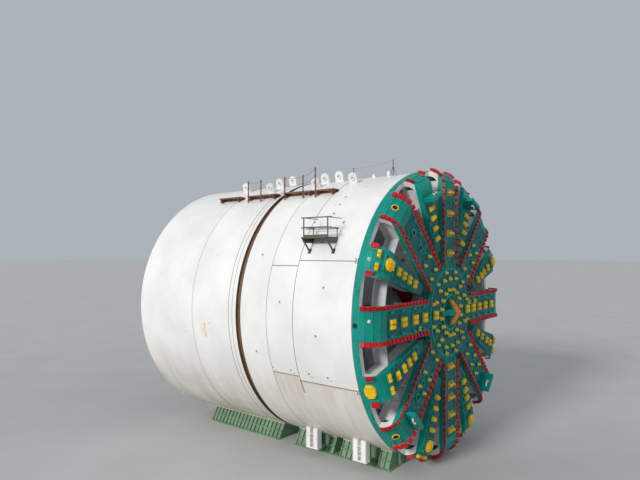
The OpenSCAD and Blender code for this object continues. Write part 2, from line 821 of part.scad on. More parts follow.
module tail_seals() {
    color([0.4, 0.36, 0.3]) for (i = [0 : 2])
        tube(tail_end - 350 - i * 750, 220, skin_ri - seat, skin_ri - 140);
}

module thrust_ring() {
    color(white) {
        tube(jack_d - thrust_l, 120, skin_ri - seat, ring_ri);
        tube(jack_d - 120, 120, skin_ri - seat, ring_ri);
        tube(jack_d - thrust_l, thrust_l, ring_ri + 150, ring_ri);
    }
}

// Clock angle of shoe i, of its jack j, and the first shoe of a quarter, all turning left from the crown
function shoe_a(i) = 90 + i * 360 / shoe_n;
function jack_a(i, j) = shoe_a(i) + (j - 0.5) * 180 / shoe_n;
function quarter_i0(q) = ceil((q + 0.5) * shoe_n / 4);

module at_jack(i, j, d) {
    at_depth(d) rotate([0, 0, jack_a(i, j)]) translate([jack_pcr, 0, 0]) children();
}

module jack_barrels() {
    color([0.3, 0.42, 0.55]) for (i = [0 : shoe_n - 1], j = [0, 1]) at_jack(i, j, jack_d + seat + barrel_l)
        difference() {
            cylinder(h = barrel_l, r = barrel_r);
            translate([0, 0, -1]) cylinder(h = jack_travel + 400, r = rod_r + pin_gap);
        }
}

shoe_gap = 60;
shoe_l = 260;
shoe_h = 460;
shoe_w = 1600 * 28 / shoe_n;
// The shoes of one quarter, counted from shoe i0, each with its two rods
module jack_rods(i0) {
    d = jack_d + barrel_l + shoe_gap;
    color([0.7, 0.71, 0.73]) for (i = [i0 : i0 + shoe_n / 4 - 1]) {
        at_depth(d + shoe_l) rotate([0, 0, shoe_a(i)]) intersection() {
            difference() {
                cylinder(h = shoe_l, r = jack_pcr + shoe_h / 2, $fn = cut_fn);
                translate([0, 0, -1]) cylinder(h = shoe_l + 2, r = jack_pcr - shoe_h / 2, $fn = cut_fn);
            }
            translate([jack_pcr - shoe_h, -shoe_w / 2, 0]) cube([2 * shoe_h, shoe_w, shoe_l]);
        }
        for (j = [0, 1]) at_jack(i, j, d + 1) cylinder(h = jack_travel + 260, r = rod_r);
    }
}

module jack_rods_top() { jack_rods(quarter_i0(3)); }

module jack_rods_left() { jack_rods(quarter_i0(0)); }

module jack_rods_bottom() { jack_rods(quarter_i0(1)); }

module jack_rods_right() { jack_rods(quarter_i0(2)); }

frame_a = [30, 90, 150, 210, 270, 330];
frame_ro = erector_ro + 800;
frame_ri = erector_ro + 150;
roller_l = 1020;
module erector_frame() {
    l = erector_d - run_gap - 100 - (jack_d - 880);
    color([0.8, 0.7, 0.15]) {
        tube(erector_d - run_gap - 500, 500, frame_ro, frame_ri);
        intersection() {
            for (a = frame_a) at_depth(erector_d - run_gap - 100) rotate([0, 0, a]) {
                translate([frame_ri + 50, -250, 0]) cube([frame_ro - frame_ri - 100, 500, l]);
                translate([frame_ri + 50, -250, l - 860]) cube([ring_ri - frame_ri, 500, 860]);
            }
            at_depth(erector_d) cylinder(h = erector_d, r = ring_ri - seat, $fn = cut_fn);
        }
        for (a = [0 : 45 : 315]) at_depth(erector_d + roller_l - 120) rotate([0, 0, a + 22.5])
            translate([erector_ro + pin_gap + seat, -150, 0]) cube([500, 300, roller_l]);
    }
}

erector_l = 1200;
post_x = 950;
module erector_ring() {
    color([0.85, 0.72, 0.1]) {
        tube(erector_d, erector_l, erector_ro, erector_ri);
        at_depth(erector_d + erector_l + 900) {
            for (s = [-1, 1]) translate([s * post_x - 150, erector_ri - 450, 0]) cube([300, 2150, 950]);
            translate([-1500, -erector_ri - 700, 0]) cube([3000, 550, 950]);
        }
    }
}

module segment_gripper() {
    w = 2 * post_x - 340;
    color([0.85, 0.45, 0.08]) at_depth(erector_d + erector_l + 2300) translate([0, erector_ri, 0]) {
        translate([-w / 2, -100, 100]) cube([w, 1450, 2100]);
        translate([-1000, 1350, -100]) cube([2000, 250, 1400]);
        for (s = [0, 1], y = [-50, 1000]) mirror([s, 0, 0]) translate([w / 2 - 10, y, 1500])
            cube([30 - pin_gap, 250, 600]);
    }
}

deck_zs = [500, 3300];
deck_w = 7000;
deck_l = 2600;
deck_t = 120;
module work_decks() {
    color([0.6, 0.6, 0.55]) intersection() {
        translate([0, rim_y + jack_d - 700, axis_h]) {
            for (z = deck_zs) translate([-deck_w / 2, 0, z]) cube([deck_w, deck_l, deck_t]);
            for (s = [0, 1]) mirror([s, 0, 0]) {
                translate([deck_w / 2 - 150, 0, -200]) cube([150, deck_l, deck_zs[1] + 320]);
                translate([deck_w / 2 - 100, 0, 300]) cube([ring_ri, 500, 200]);
            }
        }
        at_depth(jack_d + 3000) cylinder(h = 4500, r = ring_ri - seat, $fn = cut_fn);
    }
}

front_shield_skin();
bulkhead();
hatch_frames();
hatch_door_left();
hatch_door_right();
fixed_mixing_bars();
bearing_housing();
drive_motors();
man_locks();
articulation_sleeve();
screw_casing();
screw_discharge();
discharge_gate();
screw_shaft();
screw_flight();
front_cradle();
jacking_brackets();
front_padeyes();
front_platforms();
side_platform();
centre_plate();
main_spokes();
secondary_arms();
head_rim();
opening_walls();
rim_gussets();
centre_bit();
scraper_bits();
face_bits();
head_lugs();
head_mixing_bars();
leg_seats();
legs();
drive_ring();
hub_drum();
hub_ring();
copy_cutter();
tail_skin();
tail_seals();
thrust_ring();
jack_barrels();
erector_frame();
work_decks();
rear_cradle();
rear_padeyes();
rear_platforms();
jack_rods_top();
jack_rods_right();
jack_rods_bottom();
jack_rods_left();
erector_ring();
segment_gripper();
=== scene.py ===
"""Looks of the tunnel boring machine: materials, small parts, light and camera."""
import json
import math
import bpy
from mathutils import Matrix, Vector


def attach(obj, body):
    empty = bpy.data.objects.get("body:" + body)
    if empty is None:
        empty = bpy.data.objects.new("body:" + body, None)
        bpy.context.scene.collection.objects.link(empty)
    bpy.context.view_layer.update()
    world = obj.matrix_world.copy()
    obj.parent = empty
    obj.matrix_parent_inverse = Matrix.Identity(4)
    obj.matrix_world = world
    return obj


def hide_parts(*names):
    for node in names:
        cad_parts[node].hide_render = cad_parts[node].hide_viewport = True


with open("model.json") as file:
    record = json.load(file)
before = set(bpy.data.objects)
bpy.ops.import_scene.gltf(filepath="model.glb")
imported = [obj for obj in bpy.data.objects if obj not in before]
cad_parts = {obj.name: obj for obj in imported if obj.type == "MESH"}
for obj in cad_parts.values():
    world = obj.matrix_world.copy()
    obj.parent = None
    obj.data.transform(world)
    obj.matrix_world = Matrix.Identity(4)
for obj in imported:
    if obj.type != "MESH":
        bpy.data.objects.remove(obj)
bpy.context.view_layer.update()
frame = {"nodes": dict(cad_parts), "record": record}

# Sizes shared with the CAD model, in metres. Depths count from the shield's front rim to the rear.
HEAD_GAP, SKIRT, DOME, HEAD_R = 0.06, 0.38, 0.95, 8.74
HEAD_T = SKIRT + DOME
FLAT = HEAD_R - DOME
BIT = 0.6203
PLATE = 0.30
SPOKE_W, ARM_W = 1.86, 1.7
NOSE = HEAD_GAP + HEAD_T + BIT
TAIL_END = 18.2
RIM = NOSE - (NOSE + TAIL_END) / 2
AXIS = 8.95
SHIELD_R = 8.7
BULKHEAD_D, JACK_D, ERECTOR_D = 2.4, 10.2, 13.5
LEG_D, LEG_R = 1.55, 4.975
JACK_R = 8.05
HATCH_ROOM = 3.18
HATCH_W, HATCH_H = 0.393 * HATCH_ROOM, 0.472 * HATCH_ROOM

# Bits and their pockets stand this far off the cutterhead's plates
LIFT = 0.001

HEAD, FRONT, TAIL, ERECTOR, GRIPPER = "cutterhead", "front_shield", "tail_shield", "erector", "gripper"


# ---------------------------------------------------------------- places
FORWARD = Vector((0, -1, 0))


def polar(r, deg, z=0.0):
    a = math.radians(deg)
    return (r * math.cos(a), r * math.sin(a), z)


def radial(deg):
    """Unit vectors away from the machine axis at an angle, and along the turn."""
    a = math.radians(deg)
    return Vector((math.cos(a), 0, math.sin(a))), Vector((-math.sin(a), 0, math.cos(a)))


def basis(ex, ey, ez, origin):
    m = Matrix((ex, ey, ez)).transposed().to_4x4()
    m.translation = origin
    return m


def move(x=0.0, y=0.0, z=0.0):
    return Matrix.Translation((x, y, z))


def turn(deg, axis="Z"):
    return Matrix.Rotation(math.radians(deg), 4, axis)


def spot(x, d, z):
    """A point x across, at depth d and z above the axis."""
    return Vector((x, RIM + d, AXIS + z))


def place(x, d, z):
    """Frame at such a point, y to the rear and z up."""
    return Matrix.Translation(spot(x, d, z))


def stand(x, d, z):
    """The same with z counted from the floor."""
    return place(x, d, z - AXIS)


def at(d, ang=0.0, r=0.0):
    """Frame on the machine axis at depth d: x radial at ang degrees, y along the turn, z forward."""
    ex, ey = radial(ang)
    return basis(ex, ey, FORWARD, spot(0, d, 0) + ex * r)


def back(d, ang=0.0, r=0.0):
    """The same with z to the rear."""
    return at(d, ang, r) @ turn(180, "X")


def head(ang, s, off=0.0, h=0.0):
    """Frame on the cutterhead's outer surface: x outward along it, y along the turn, z off the surface."""
    er, et = radial(ang)
    t = max(0.0, (s - FLAT) / DOME)
    r = min(s, FLAT) + DOME * math.sin(t)
    up = SKIRT + DOME * math.cos(t)
    ex = er * math.cos(t) - FORWARD * math.sin(t)
    ez = er * math.sin(t) + FORWARD * math.cos(t)
    return basis(ex, et, ez, spot(0, -HEAD_GAP, 0) + er * r + FORWARD * up + et * off + ez * h)


def seat(ang, s, off):
    """Frame of a bit beside an arm's middle, y turned to the arm's nearer edge."""
    return head(ang, s, off, LIFT) @ turn(0 if off > 0 else 180)


def skin(d, ang):
    """Frame on the shield's outer surface, ang degrees round from the crown towards -X."""
    ez, ex = radial(90 + ang)[0], Vector((0, 1, 0))
    return basis(ex, ez.cross(ex), ez, spot(0, d, 0) + ez * SHIELD_R)


def hatches(d):
    """Each hatch door's body, and a frame in its middle at depth d."""
    for body, k, a in (("hatch_left", 0.43, 25.6), ("hatch_right", 0.695, 36.1)):
        x, z, _ = polar(5.4 + k * HATCH_ROOM, 90 - a)
        yield body, place(x, d, z)


def sag(a, b, drop, n=10):
    """A rope from a to b that hangs by drop at its middle."""
    return [a.lerp(b, i / n) - Vector((0, 0, drop * 4 * (i / n) * (1 - i / n))) for i in range(n + 1)]


# ---------------------------------------------------------------- meshes
# Slot of each look that has no slot of its own name
SLOT_OF = {"plain_teal": "head_teal", "bit_orange": "bit_yellow", "shield_front": "shield_white",
           "shield_tail": "shield_white", "plank": "walkway_brown", "rope": "walkway_brown",
           "post_red": "walkway_brown", "rail_dark": "walkway_grey", "cap_strip": "cradle_green",
           "rubber": "cutter_dark"}


class Piece:
    """Collects closed solids, and makes one mesh object of them in the end."""
    every = []

    def __init__(self, name, body, look, slot=None):
        self.name, self.body, self.look, self.slot = name, body, look, slot or SLOT_OF.get(look, look)
        self.v, self.f, self.smooth, self.stands_for = [], [], False, None
        Piece.every.append(self)

    def loft(self, rings, m=Matrix(), closed=False):
        """Skin through rings of the same number of points, capped or with the last joined to the first."""
        base, n, k = len(self.v), len(rings), len(rings[0])
        faces = [(i * k + j, i * k + (j + 1) % k, (i + 1) % n * k + (j + 1) % k, (i + 1) % n * k + j)
                 for i in range(n if closed else n - 1) for j in range(k)]
        if not closed:
            faces += [tuple(reversed(range(k))), tuple(range((n - 1) * k, n * k))]
        self.v += [(m @ Vector(p))[:] for ring in rings for p in ring]
        self.f += [tuple(i + base for i in f) for f in faces]

    def box(self, x, y, z, m, c=0.0):
        """A block of size x, y, z standing on the frame's origin, its edges chamfered by c."""
        x, y = x / 2, y / 2
        steps = ((c, 0), (0, c * 0.6), (0, z - c), (c, z)) if c else ((0, 0), (0, z))
        corners = ((1, 1), (-1, 1), (-1, -1), (1, -1))
        self.loft([[((x - b) * i, (y - b) * j, h) for i, j in corners] for b, h in steps], m)

    def disc(self, profile, m, n=16):
        """A solid of revolution about z from (radius, height) pairs, from one end to the other."""
        self.loft([[polar(r, 360 * i / n, z) for i in range(n)] for r, z in profile], m)

    def hoop(self, ro, ri, z0, z1, m, n=96, c=0.0):
        """A ring about z from height z0 to z1, its outer edges chamfered by c."""
        outer = [(ro - c, z1), (ro, z1 - c), (ro, z0 + c), (ro - c, z0)] if c else [(ro, z1), (ro, z0)]
        section = [(ri, z1), *outer, (ri, z0)]
        self.loft([[polar(r, 360 * i / n, z) for r, z in section] for i in range(n)], m, closed=True)

    def arc(self, ro, ri, z0, z1, a0, a1, m, n):
        """A part of such a ring between two angles in degrees."""
        section = ((ri, z0), (ro, z0), (ro, z1), (ri, z1))
        self.loft([[polar(r, a0 + (a1 - a0) * i / n, z) for r, z in section] for i in range(n + 1)], m)

    def pipe(self, path, r, n=8, m=Matrix()):
        """A round bar or hose along a path."""
        pts = [Vector(p) for p in path]
        rings, side = [], None
        for i, p in enumerate(pts):
            d = (pts[min(i + 1, len(pts) - 1)] - pts[max(i - 1, 0)]).normalized()
            if side is None:
                side = d.orthogonal().normalized()
            side = (side - d * side.dot(d)).normalized()
            up = d.cross(side)
            rings.append([p + side * x + up * y for x, y, _ in (polar(r, 360 * j / n) for j in range(n))])
        self.loft(rings, m)

    def bar(self, a, b, r, n=8):
        """A round bar between two points, each given across, in depth and above the axis."""
        self.pipe([spot(*a), spot(*b)], r, n)

    def plate(self, outline, t, m):
        """A flat plate with its outline in x and y, standing from 0 to t in z."""
        self.loft([[(x, y, z) for x, y in outline] for z in (0, t)], m)

    def fin(self, outline, t, m):
        """Such a plate on edge: its outline in x and z, its thickness about the middle."""
        self.plate(outline, t, m @ turn(90, "X") @ move(z=-t / 2))

    def bolt(self, m, r, h):
        self.disc([(r * 1.5, 0), (r * 1.5, h * 0.25), (r, h * 0.3), (r, h), (r * 0.8, h * 1.15)], m, 6)

    def bolts(self, m, n, circle, r, h, z=0.0, start=0.0):
        """A circle of n bolts about z."""
        for i in range(n):
            self.bolt(m @ turn(start + 360 * i / n) @ move(x=circle, z=z), r, h)

    def make(self):
        """One mesh object with its look, its body and the node that it stands for."""
        mesh = bpy.data.meshes.new(self.name)
        mesh.from_pydata(self.v, [], self.f)
        mesh.validate()
        mesh.update()
        if self.smooth:
            mesh.shade_smooth()
            mesh.set_sharp_from_angle(angle=math.radians(35))
        mesh.materials.append(M[self.look])
        o = bpy.data.objects.new(self.name, mesh)
        bpy.context.scene.collection.objects.link(o)
        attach(o, self.body)
        if self.stands_for:
            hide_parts(self.stands_for)


def pieces(body, **looks):
    """New pieces on a body, a look for each name."""
    return [Piece(name, body, look) for name, look in looks.items()]


# ---------------------------------------------------------------- materials
def math_node(operation, first=True):
    """A method that puts its value through a math node, as the first or the last operand."""
    def run(self, *others):
        operands = (self, *others) if first else (*others, self)
        node = self.nodes.new("Math", dict(enumerate(operands)), operation=operation)
        return Value(self.nodes, node.outputs[0])
    return run


class Value:
    """A shader socket that takes part in sums."""

    def __init__(self, nodes, socket):
        self.nodes, self.socket = nodes, socket

    __add__, __sub__, __rsub__ = math_node("ADD"), math_node("SUBTRACT"), math_node("SUBTRACT", first=False)
    __mul__, __lt__, __gt__ = math_node("MULTIPLY"), math_node("LESS_THAN"), math_node("GREATER_THAN")
    max, abs, sqrt = math_node("MAXIMUM"), math_node("ABSOLUTE"), math_node("SQRT")

    def ramp(self, lo, hi):
        """0 below lo and 1 above hi, smooth between."""
        inputs = {"Value": self, "From Min": lo, "From Max": hi}
        node = self.nodes.new("MapRange", inputs, interpolation_type="SMOOTHSTEP")
        return Value(self.nodes, node.outputs[0])

    def near(self, middle, half):
        """1 within half of a middle, 0 beyond."""
        return (self - middle).abs() < half


class Nodes:
    """One material and the nodes that it is made of."""

    def __init__(self):
        self.mat = bpy.data.materials.new("paint")
        self.mat.use_nodes = True
        self.tree = self.mat.node_tree
        self.bsdf = self.tree.nodes["Principled BSDF"]
        self.coord = self.new("TexCoord")
        self.x, self.y, self.z = self.split("Object")
        self.nx, self.ny, self.nz = self.split("Normal")
        self.up = self.z - AXIS

    def new(self, kind, inputs=(), **settings):
        """A node of a kind with its settings, and its inputs by name or number."""
        n = self.tree.nodes.new("ShaderNode" + kind)
        for key, value in settings.items():
            setattr(n, key, value)
        for key, value in dict(inputs).items():
            self.put(n.inputs[key], value)
        return n

    def put(self, socket, a):
        a = a.socket if isinstance(a, Value) else a
        if isinstance(a, bpy.types.NodeSocket):
            self.tree.links.new(a, socket)
        else:
            socket.default_value = (*a, 1.0) if socket.type == "RGBA" else a

    def split(self, coordinates):
        n = self.new("SeparateXYZ", {0: self.coord.outputs[coordinates]})
        return [Value(self, n.outputs[i]) for i in range(3)]

    def texture(self, kind, output, stretch, **inputs):
        v = self.new("VectorMath", {0: self.coord.outputs["Object"], 1: stretch}, operation="MULTIPLY")
        return Value(self, self.new(kind, {"Vector": v.outputs[0], **inputs}).outputs[output])

    def noise(self, scale, detail=3.0, rough=0.55, stretch=(1, 1, 1)):
        return self.texture("TexNoise", 0, stretch, Scale=scale, Detail=detail, Roughness=rough)

    def cells(self, scale):
        return self.texture("TexVoronoi", "Distance", (1, 1, 1), Scale=scale)

    def edge(self, width):
        """Near 1 along convex and concave edges."""
        ends = {0: self.new("Bevel", {"Radius": width}, samples=4).outputs[0],
                1: self.new("NewGeometry").outputs["Normal"]}
        dot = Value(self, self.new("VectorMath", ends, operation="DOT_PRODUCT").outputs["Value"])
        return (1.0 - dot).ramp(0.01, 0.12)

    def radius(self):
        """Distance from the machine axis."""
        return (self.x * self.x + self.up * self.up).sqrt()

    def mix(self, f, a, b):
        """Colours a and b, which are the mix node's inputs 6 and 7, by the factor f."""
        return Value(self, self.new("Mix", {0: f, 6: a, 7: b}, data_type="RGBA").outputs[2])

    def finish(self, colour, rough, height=None, strength=0.3, dist=0.01, metal=0.0, coat=0.0, shine=0.5):
        """Joins the colour, the gloss and a bump's height to the shader, and gives the material."""
        for key, value in (("Base Color", colour), ("Roughness", rough), ("Metallic", metal),
                           ("Coat Weight", coat), ("Specular IOR Level", shine)):
            self.put(self.bsdf.inputs[key], value)
        if height is not None:
            bump = self.new("Bump", {"Strength": strength, "Distance": dist, "Height": height})
            self.put(self.bsdf.inputs["Normal"], bump.outputs[0])
        return self.mat


def srgb(*colour):
    """A linear colour from display values between 0 and 255."""
    return tuple(c / 255 / 12.92 if c / 255 <= 0.04045 else ((c / 255 + 0.055) / 1.055) ** 2.4 for c in colour)


def shade(colour, k):
    return tuple(min(1.0, c * k) for c in colour)


def paint(base, rough, vary, dirt, soil, worn=None, width=0.02, wear=0.6, scale=1.0, bump=0.25, metal=0.0,
          shine=0.5):
    """Painted or bare metal: uneven colour, settled dirt, worn edges and a slightly rough film."""
    n = Nodes()
    base, fine = srgb(*base), n.noise(9 * scale, 5, 0.65)
    c = n.mix(n.noise(0.7 * scale, 4).ramp(0.3, 0.7), shade(base, 1 - vary), shade(base, 1 + vary))
    spots = (n.noise(2.3 * scale, 6, 0.7).ramp(0.52, 0.78) * soil).max(fine.ramp(0.62, 0.8) * (soil * 0.6))
    c = n.mix(spots, c, srgb(*dirt))
    if worn is not None:
        e = n.edge(width) * n.noise(3 * scale, 4, 0.7).ramp(0.35, 0.6) * wear
        c = n.mix(e, c, srgb(*worn))
    return n.finish(c, fine * 0.25 + (rough - 0.12), n.noise(30 * scale, 3), bump, 0.004, metal, shine=shine)


def shield_paint(front):
    """White shield paint with plate seams, rain streaks and rust, darker and more beige towards the bottom, and
    with painted shade inside the mouth.
    """
    n = Nodes()
    depth, low, side = n.y - RIM, (n.up * -1.0).ramp(1.5, 7.6), n.x.abs()
    c = n.mix(n.noise(0.35, 4).ramp(0.3, 0.7), srgb(226, 226, 224), srgb(240, 239, 236))
    streak = n.noise(1.0, 5, 0.6, (0.25, 2.2, 0.16)).ramp(0.40, 0.78)
    # Towards the bottom the skin turns darker and more beige, evenly, and more so in the rain streaks.
    c = n.mix(low * streak * 0.5 + low * 0.24, c, srgb(180, 158, 126))
    settled = n.up.ramp(4.5, 8.0) * n.noise(1.4, 6, 0.7, (1, 2, 1)).ramp(0.5, 0.75)
    c = n.mix(settled * 0.3, c, srgb(196, 182, 160))
    c = n.mix(n.noise(1.1, 7, 0.75).ramp(0.66, 0.74) * 0.35, c, srgb(196, 178, 146))
    if front:
        line = (depth.near(3.92, 0.018) * (n.up > -4.1)).max(depth.near(5.91, 0.014))
        rust = None
        for z, lo, hi in ((3.23, 0.0, 3.9), (2.93, 3.95, 5.9), (-3.21, 3.95, 5.9), (-3.47, 0.0, 3.9)):
            span = (depth > lo) * (depth < hi)
            line = line.max(n.up.near(z, 0.02) * span * (side > 7.6))
            if z < 0:
                belt = span * (side > 4.0)
                under = (n.up * -1.0 + z) * belt
                on = (n.up < z) * belt
                lip = (1.0 - under.ramp(0.0, 0.22)) * on * 0.8
                runs = n.noise(1.0, 4, 0.55, (0.3, 1.7, 0.10)).ramp(0.30, 0.80)
                veil = (1.0 - under.ramp(0.0, 2.6)) * on * (runs * 0.75 + 0.12)
                rust = lip.max(veil) if rust is None else rust.max(lip.max(veil))
        c = n.mix(rust * 0.72, c, srgb(190, 150, 108))
        end = depth.near(3.92, 0.05) * n.up.near(-3.85, 0.45) * (side > 7.6)
        c = n.mix(end * 0.6, c, srgb(128, 92, 64))
    else:
        line = depth.near(9.07, 0.018).max(depth.near(8.75, 0.014)).max(depth.near(12.52, 0.014))
        stain = depth.near(11.45, 0.22) * n.up.near(-1.25, 0.45) * (n.x < 0.0)
        c = n.mix(stain * n.noise(2.0, 4, 0.6, (1, 3, 1)).ramp(0.4, 0.62) * 0.8, c, srgb(226, 178, 110))
        waves = n.noise(1.0, 3, 0.5, (0.2, 0.12, 1.6)).ramp(0.5, 0.64)
        c = n.mix(waves * low * 0.35, c, srgb(196, 192, 186))
    inside = n.radius() < (SHIELD_R - 0.02)
    # Inside the shield's mouth the white is painted darker and bluer than outside: painted shade.
    mouth_painted_shade = n.mix(n.noise(0.5, 5, 0.6, (1, 2, 0.6)).ramp(0.35, 0.7), srgb(176, 180, 188), srgb(206, 208, 212))
    c = n.mix(line * (1.0 - inside), n.mix(inside, c, mouth_painted_shade), srgb(96, 78, 64))
    if not front:
        c = n.mix((depth < 8.46) * (n.ny < -0.5), c, srgb(132, 102, 78))
    height = n.noise(0.9, 3) * 0.5 - line * 0.5 + n.noise(14, 3) * 0.05
    return n.finish(c, n.noise(6, 4) * 0.2 + 0.34, height, 0.25, 0.03, coat=0.1)


def head_paint():
    """Teal outside, with white inner walls, as on the cutterhead; the face is painted darker and bluer, which
    is painted shade over a mottled hard-facing grid.
    """
    n = Nodes()
    top, r = RIM - HEAD_GAP - (HEAD_T - PLATE), n.radius()
    c = n.mix(n.noise(0.6, 4).ramp(0.3, 0.7), srgb(0, 136, 122), srgb(0, 158, 142))
    c = n.mix(n.noise(2.2, 6, 0.7).ramp(0.55, 0.8) * 0.25, c, srgb(40, 120, 106))
    # The flat face gets a mottled hard-facing grid and is painted darker and bluer than the teal outside:
    # painted shade.
    face_grid_and_shade = n.noise(5, 2).ramp(0.4, 0.6) * 0.3 + n.cells(7).ramp(0.25, 0.6) * 0.3 + 0.34
    c = n.mix(face_grid_and_shade * (r < (FLAT - 0.2)) * ((n.ny * -1.0) > 0.9), c, srgb(4, 66, 78))
    c = n.mix(n.edge(0.03) * n.noise(3, 4, 0.7).ramp(0.4, 0.62) * 0.4, c, srgb(120, 172, 158))
    out = (n.nx * n.x + n.nz * n.up) > (r * 0.12)
    inner = (n.y > top) * (r < (HEAD_R - 0.02)) * (1.0 - out * (r > (FLAT + 0.1)))
    w = n.mix(n.noise(0.8, 5, 0.65).ramp(0.35, 0.7), srgb(206, 203, 200), srgb(236, 231, 226))
    w = n.mix(n.noise(1.0, 5, 0.6, (0.8, 0.8, 0.3)).ramp(0.55, 0.8) * 0.4, w, srgb(156, 142, 124))
    return n.finish(n.mix(inner, c, w), n.noise(7, 5, 0.65) * 0.25 + 0.3, n.noise(24, 3), 0.2, 0.004, shine=0.2)


# Base colour, roughness, unevenness, dirt and its share, worn edges, their width and share
M = {
    "shield_front": shield_paint(True),
    "shield_tail": shield_paint(False),
    "shield_white": paint((232, 232, 229), 0.4, 0.05, (150, 126, 98), 0.35, (150, 120, 95)),
    # White paint of the parts inside the shield, painted darker and bluer than the white outside: painted
    # shade.
    "chamber_white": paint((196, 199, 204), 0.5, 0.08, (120, 112, 104), 0.4, (120, 104, 90), 0.03, 0.5),
    "head_teal": head_paint(),
    "plain_teal": paint((0, 142, 128), 0.42, 0.12, (40, 104, 96), 0.3, (110, 170, 156), 0.03, shine=0.2),
    "bit_red": paint((186, 14, 24), 0.5, 0.16, (84, 20, 20), 0.35, (196, 150, 144), 0.02, 0.4, shine=0.3),
    "bit_yellow": paint((250, 200, 10), 0.42, 0.1, (128, 96, 20), 0.35, (120, 110, 80), 0.03, shine=0.25),
    "bit_orange": paint((252, 128, 6), 0.42, 0.1, (130, 70, 10), 0.3, shine=0.2),
    "hub_red": paint((152, 18, 34), 0.42, 0.16, (70, 24, 24), 0.35, (190, 120, 110), 0.03),
    "rusty_steel": paint((112, 68, 42), 0.6, 0.25, (54, 32, 22), 0.6, (150, 110, 80), bump=0.5, metal=0.2),
    "band_brown": paint((122, 92, 68), 0.55, 0.2, (70, 48, 34), 0.6, (160, 130, 100), bump=0.4, metal=0.2),
    "door_blue": paint((64, 78, 92), 0.45, 0.12, (40, 44, 48), 0.3, (130, 136, 140)),
    "cradle_green": paint((114, 148, 120), 0.6, 0.18, (104, 82, 62), 0.85, (186, 190, 160), 0.03, 0.7),
    "cap_strip": paint((196, 196, 172), 0.6, 0.14, (150, 120, 70), 0.6, (120, 90, 62)),
    "rope": paint((150, 134, 108), 0.85, 0.2, (90, 78, 62), 0.5, scale=6, bump=0.8),
    "plank": paint((142, 128, 110), 0.8, 0.22, (96, 74, 58), 0.7, scale=3, bump=0.6),
    "post_red": paint((142, 72, 52), 0.6, 0.2, (84, 50, 40), 0.5, (176, 130, 110), 0.01),
    "rail_dark": paint((96, 90, 82), 0.55, 0.2, (70, 52, 40), 0.5, metal=0.3),
    "motor_blue": paint((46, 92, 132), 0.4, 0.12, (50, 50, 50), 0.4, (150, 156, 160)),
    "erector_yellow": paint((224, 178, 40), 0.42, 0.1, (100, 80, 44), 0.4, (120, 110, 90), 0.03),
    "gripper_orange": paint((218, 110, 34), 0.42, 0.1, (90, 60, 40), 0.4, (130, 110, 90), 0.03),
    "bare_steel": paint((150, 152, 154), 0.4, 0.15, (90, 70, 54), 0.5, (200, 200, 200), metal=0.8),
    "rod_chrome": paint((214, 216, 220), 0.2, 0.05, (120, 120, 120), 0.2, bump=0.05, metal=1.0),
    "walkway_brown": paint((122, 78, 58), 0.65, 0.2, (70, 50, 40), 0.6, (160, 130, 110)),
    "walkway_grey": paint((150, 152, 152), 0.5, 0.16, (110, 96, 82), 0.5, metal=0.5),
    "seal_brush": paint((112, 104, 88), 0.7, 0.25, (46, 40, 32), 0.7, scale=4, bump=0.8, metal=0.4),
    "cutter_dark": paint((44, 44, 46), 0.5, 0.2, (80, 60, 44), 0.4, (130, 126, 120), metal=0.6),
    "rubber": paint((28, 28, 30), 0.6, 0.2, (80, 76, 70), 0.4),
}
for name, mat in M.items():
    mat.name = name + "_look"
# The look of each CAD node is that of its material slot, but for a few
LOOK = {s["node"]: s["material_slot"] for s in frame["record"]["subparts"]}
LOOK.update(front_shield_skin="shield_front", tail_skin="shield_tail", articulation_sleeve="band_brown",
            head_lugs="plain_teal", centre_bit="plain_teal", side_platform="rail_dark")
for name, o in frame["nodes"].items():
    o.data.materials.clear()
    o.data.materials.append(M[LOOK[name]])


# ---------------------------------------------------------------- cutterhead
def tool(p, m, l, w, h, lean=0.0):
    """A drag bit: a wedge-shaped body on a low seat, its cutting side towards +y."""
    section = ((-w / 2 + 0.03, h * 0.62), (w / 2 + lean - 0.05, h * 1.04), (w / 2 + lean, h), (w / 2, h * 0.35),
               (w / 2, 0), (-w / 2, 0))
    c = 0.018
    ends = ((-l / 2, 0.86), (c - l / 2, 1.0), (l / 2 - c, 1.0), (l / 2, 0.86))
    p.loft([[(x, y * k, z * k) for y, z in section] for x, k in ends], m)


def pocket(p, m, l, w, t, h):
    """Four low bars round a place l by w."""
    for e in (-1, 1):
        p.box(t, w + 2 * t, h, m @ move(x=e * (l + t) / 2), 0.008)
        p.box(l, t, h, m @ move(y=e * (w + t) / 2), 0.008)


def block_bit(bits, pockets, m, l, w, h):
    """A yellow ripper in its pocket: two stepped halves with a slot between them."""
    for e in (-1, 1):
        q = m @ move(y=e * w * 0.265)
        bits.box(l, w * 0.47, h, q, 0.025)
        bits.box(l * 0.55, w * 0.30, 0.05, q @ move(z=h - 0.005), 0.015)
    pocket(pockets, m, l + 0.04, w + 0.04, 0.045, 0.06)


def small_bit(bits, pockets, m, r=0.085, h=0.19):
    """A small round pick in a square holder."""
    pockets.box(0.30, 0.26, 0.07, m, 0.015)
    bits.disc([(r * 1.25, 0.06), (r * 1.25, 0.10), (r, 0.12), (r * 0.9, h), (r * 0.5, h + 0.035)], m, 10)


def ripper(bits, pockets, m):
    """The large faceted bit of an arm: a chamfered octagon with a split crest."""
    bits.disc([(0.30, 0), (0.36, 0.03), (0.36, 0.12), (0.29, 0.17)], m @ turn(22.5), 8)
    for e in (-1, 1):
        bits.box(0.34, 0.17, 0.06, m @ move(y=e * 0.11, z=0.16), 0.02)
    bits.box(0.12, 0.50, 0.035, m @ move(x=-0.2, z=0.15), 0.01)
    pocket(pockets, m, 0.78, 0.78, 0.05, 0.05)


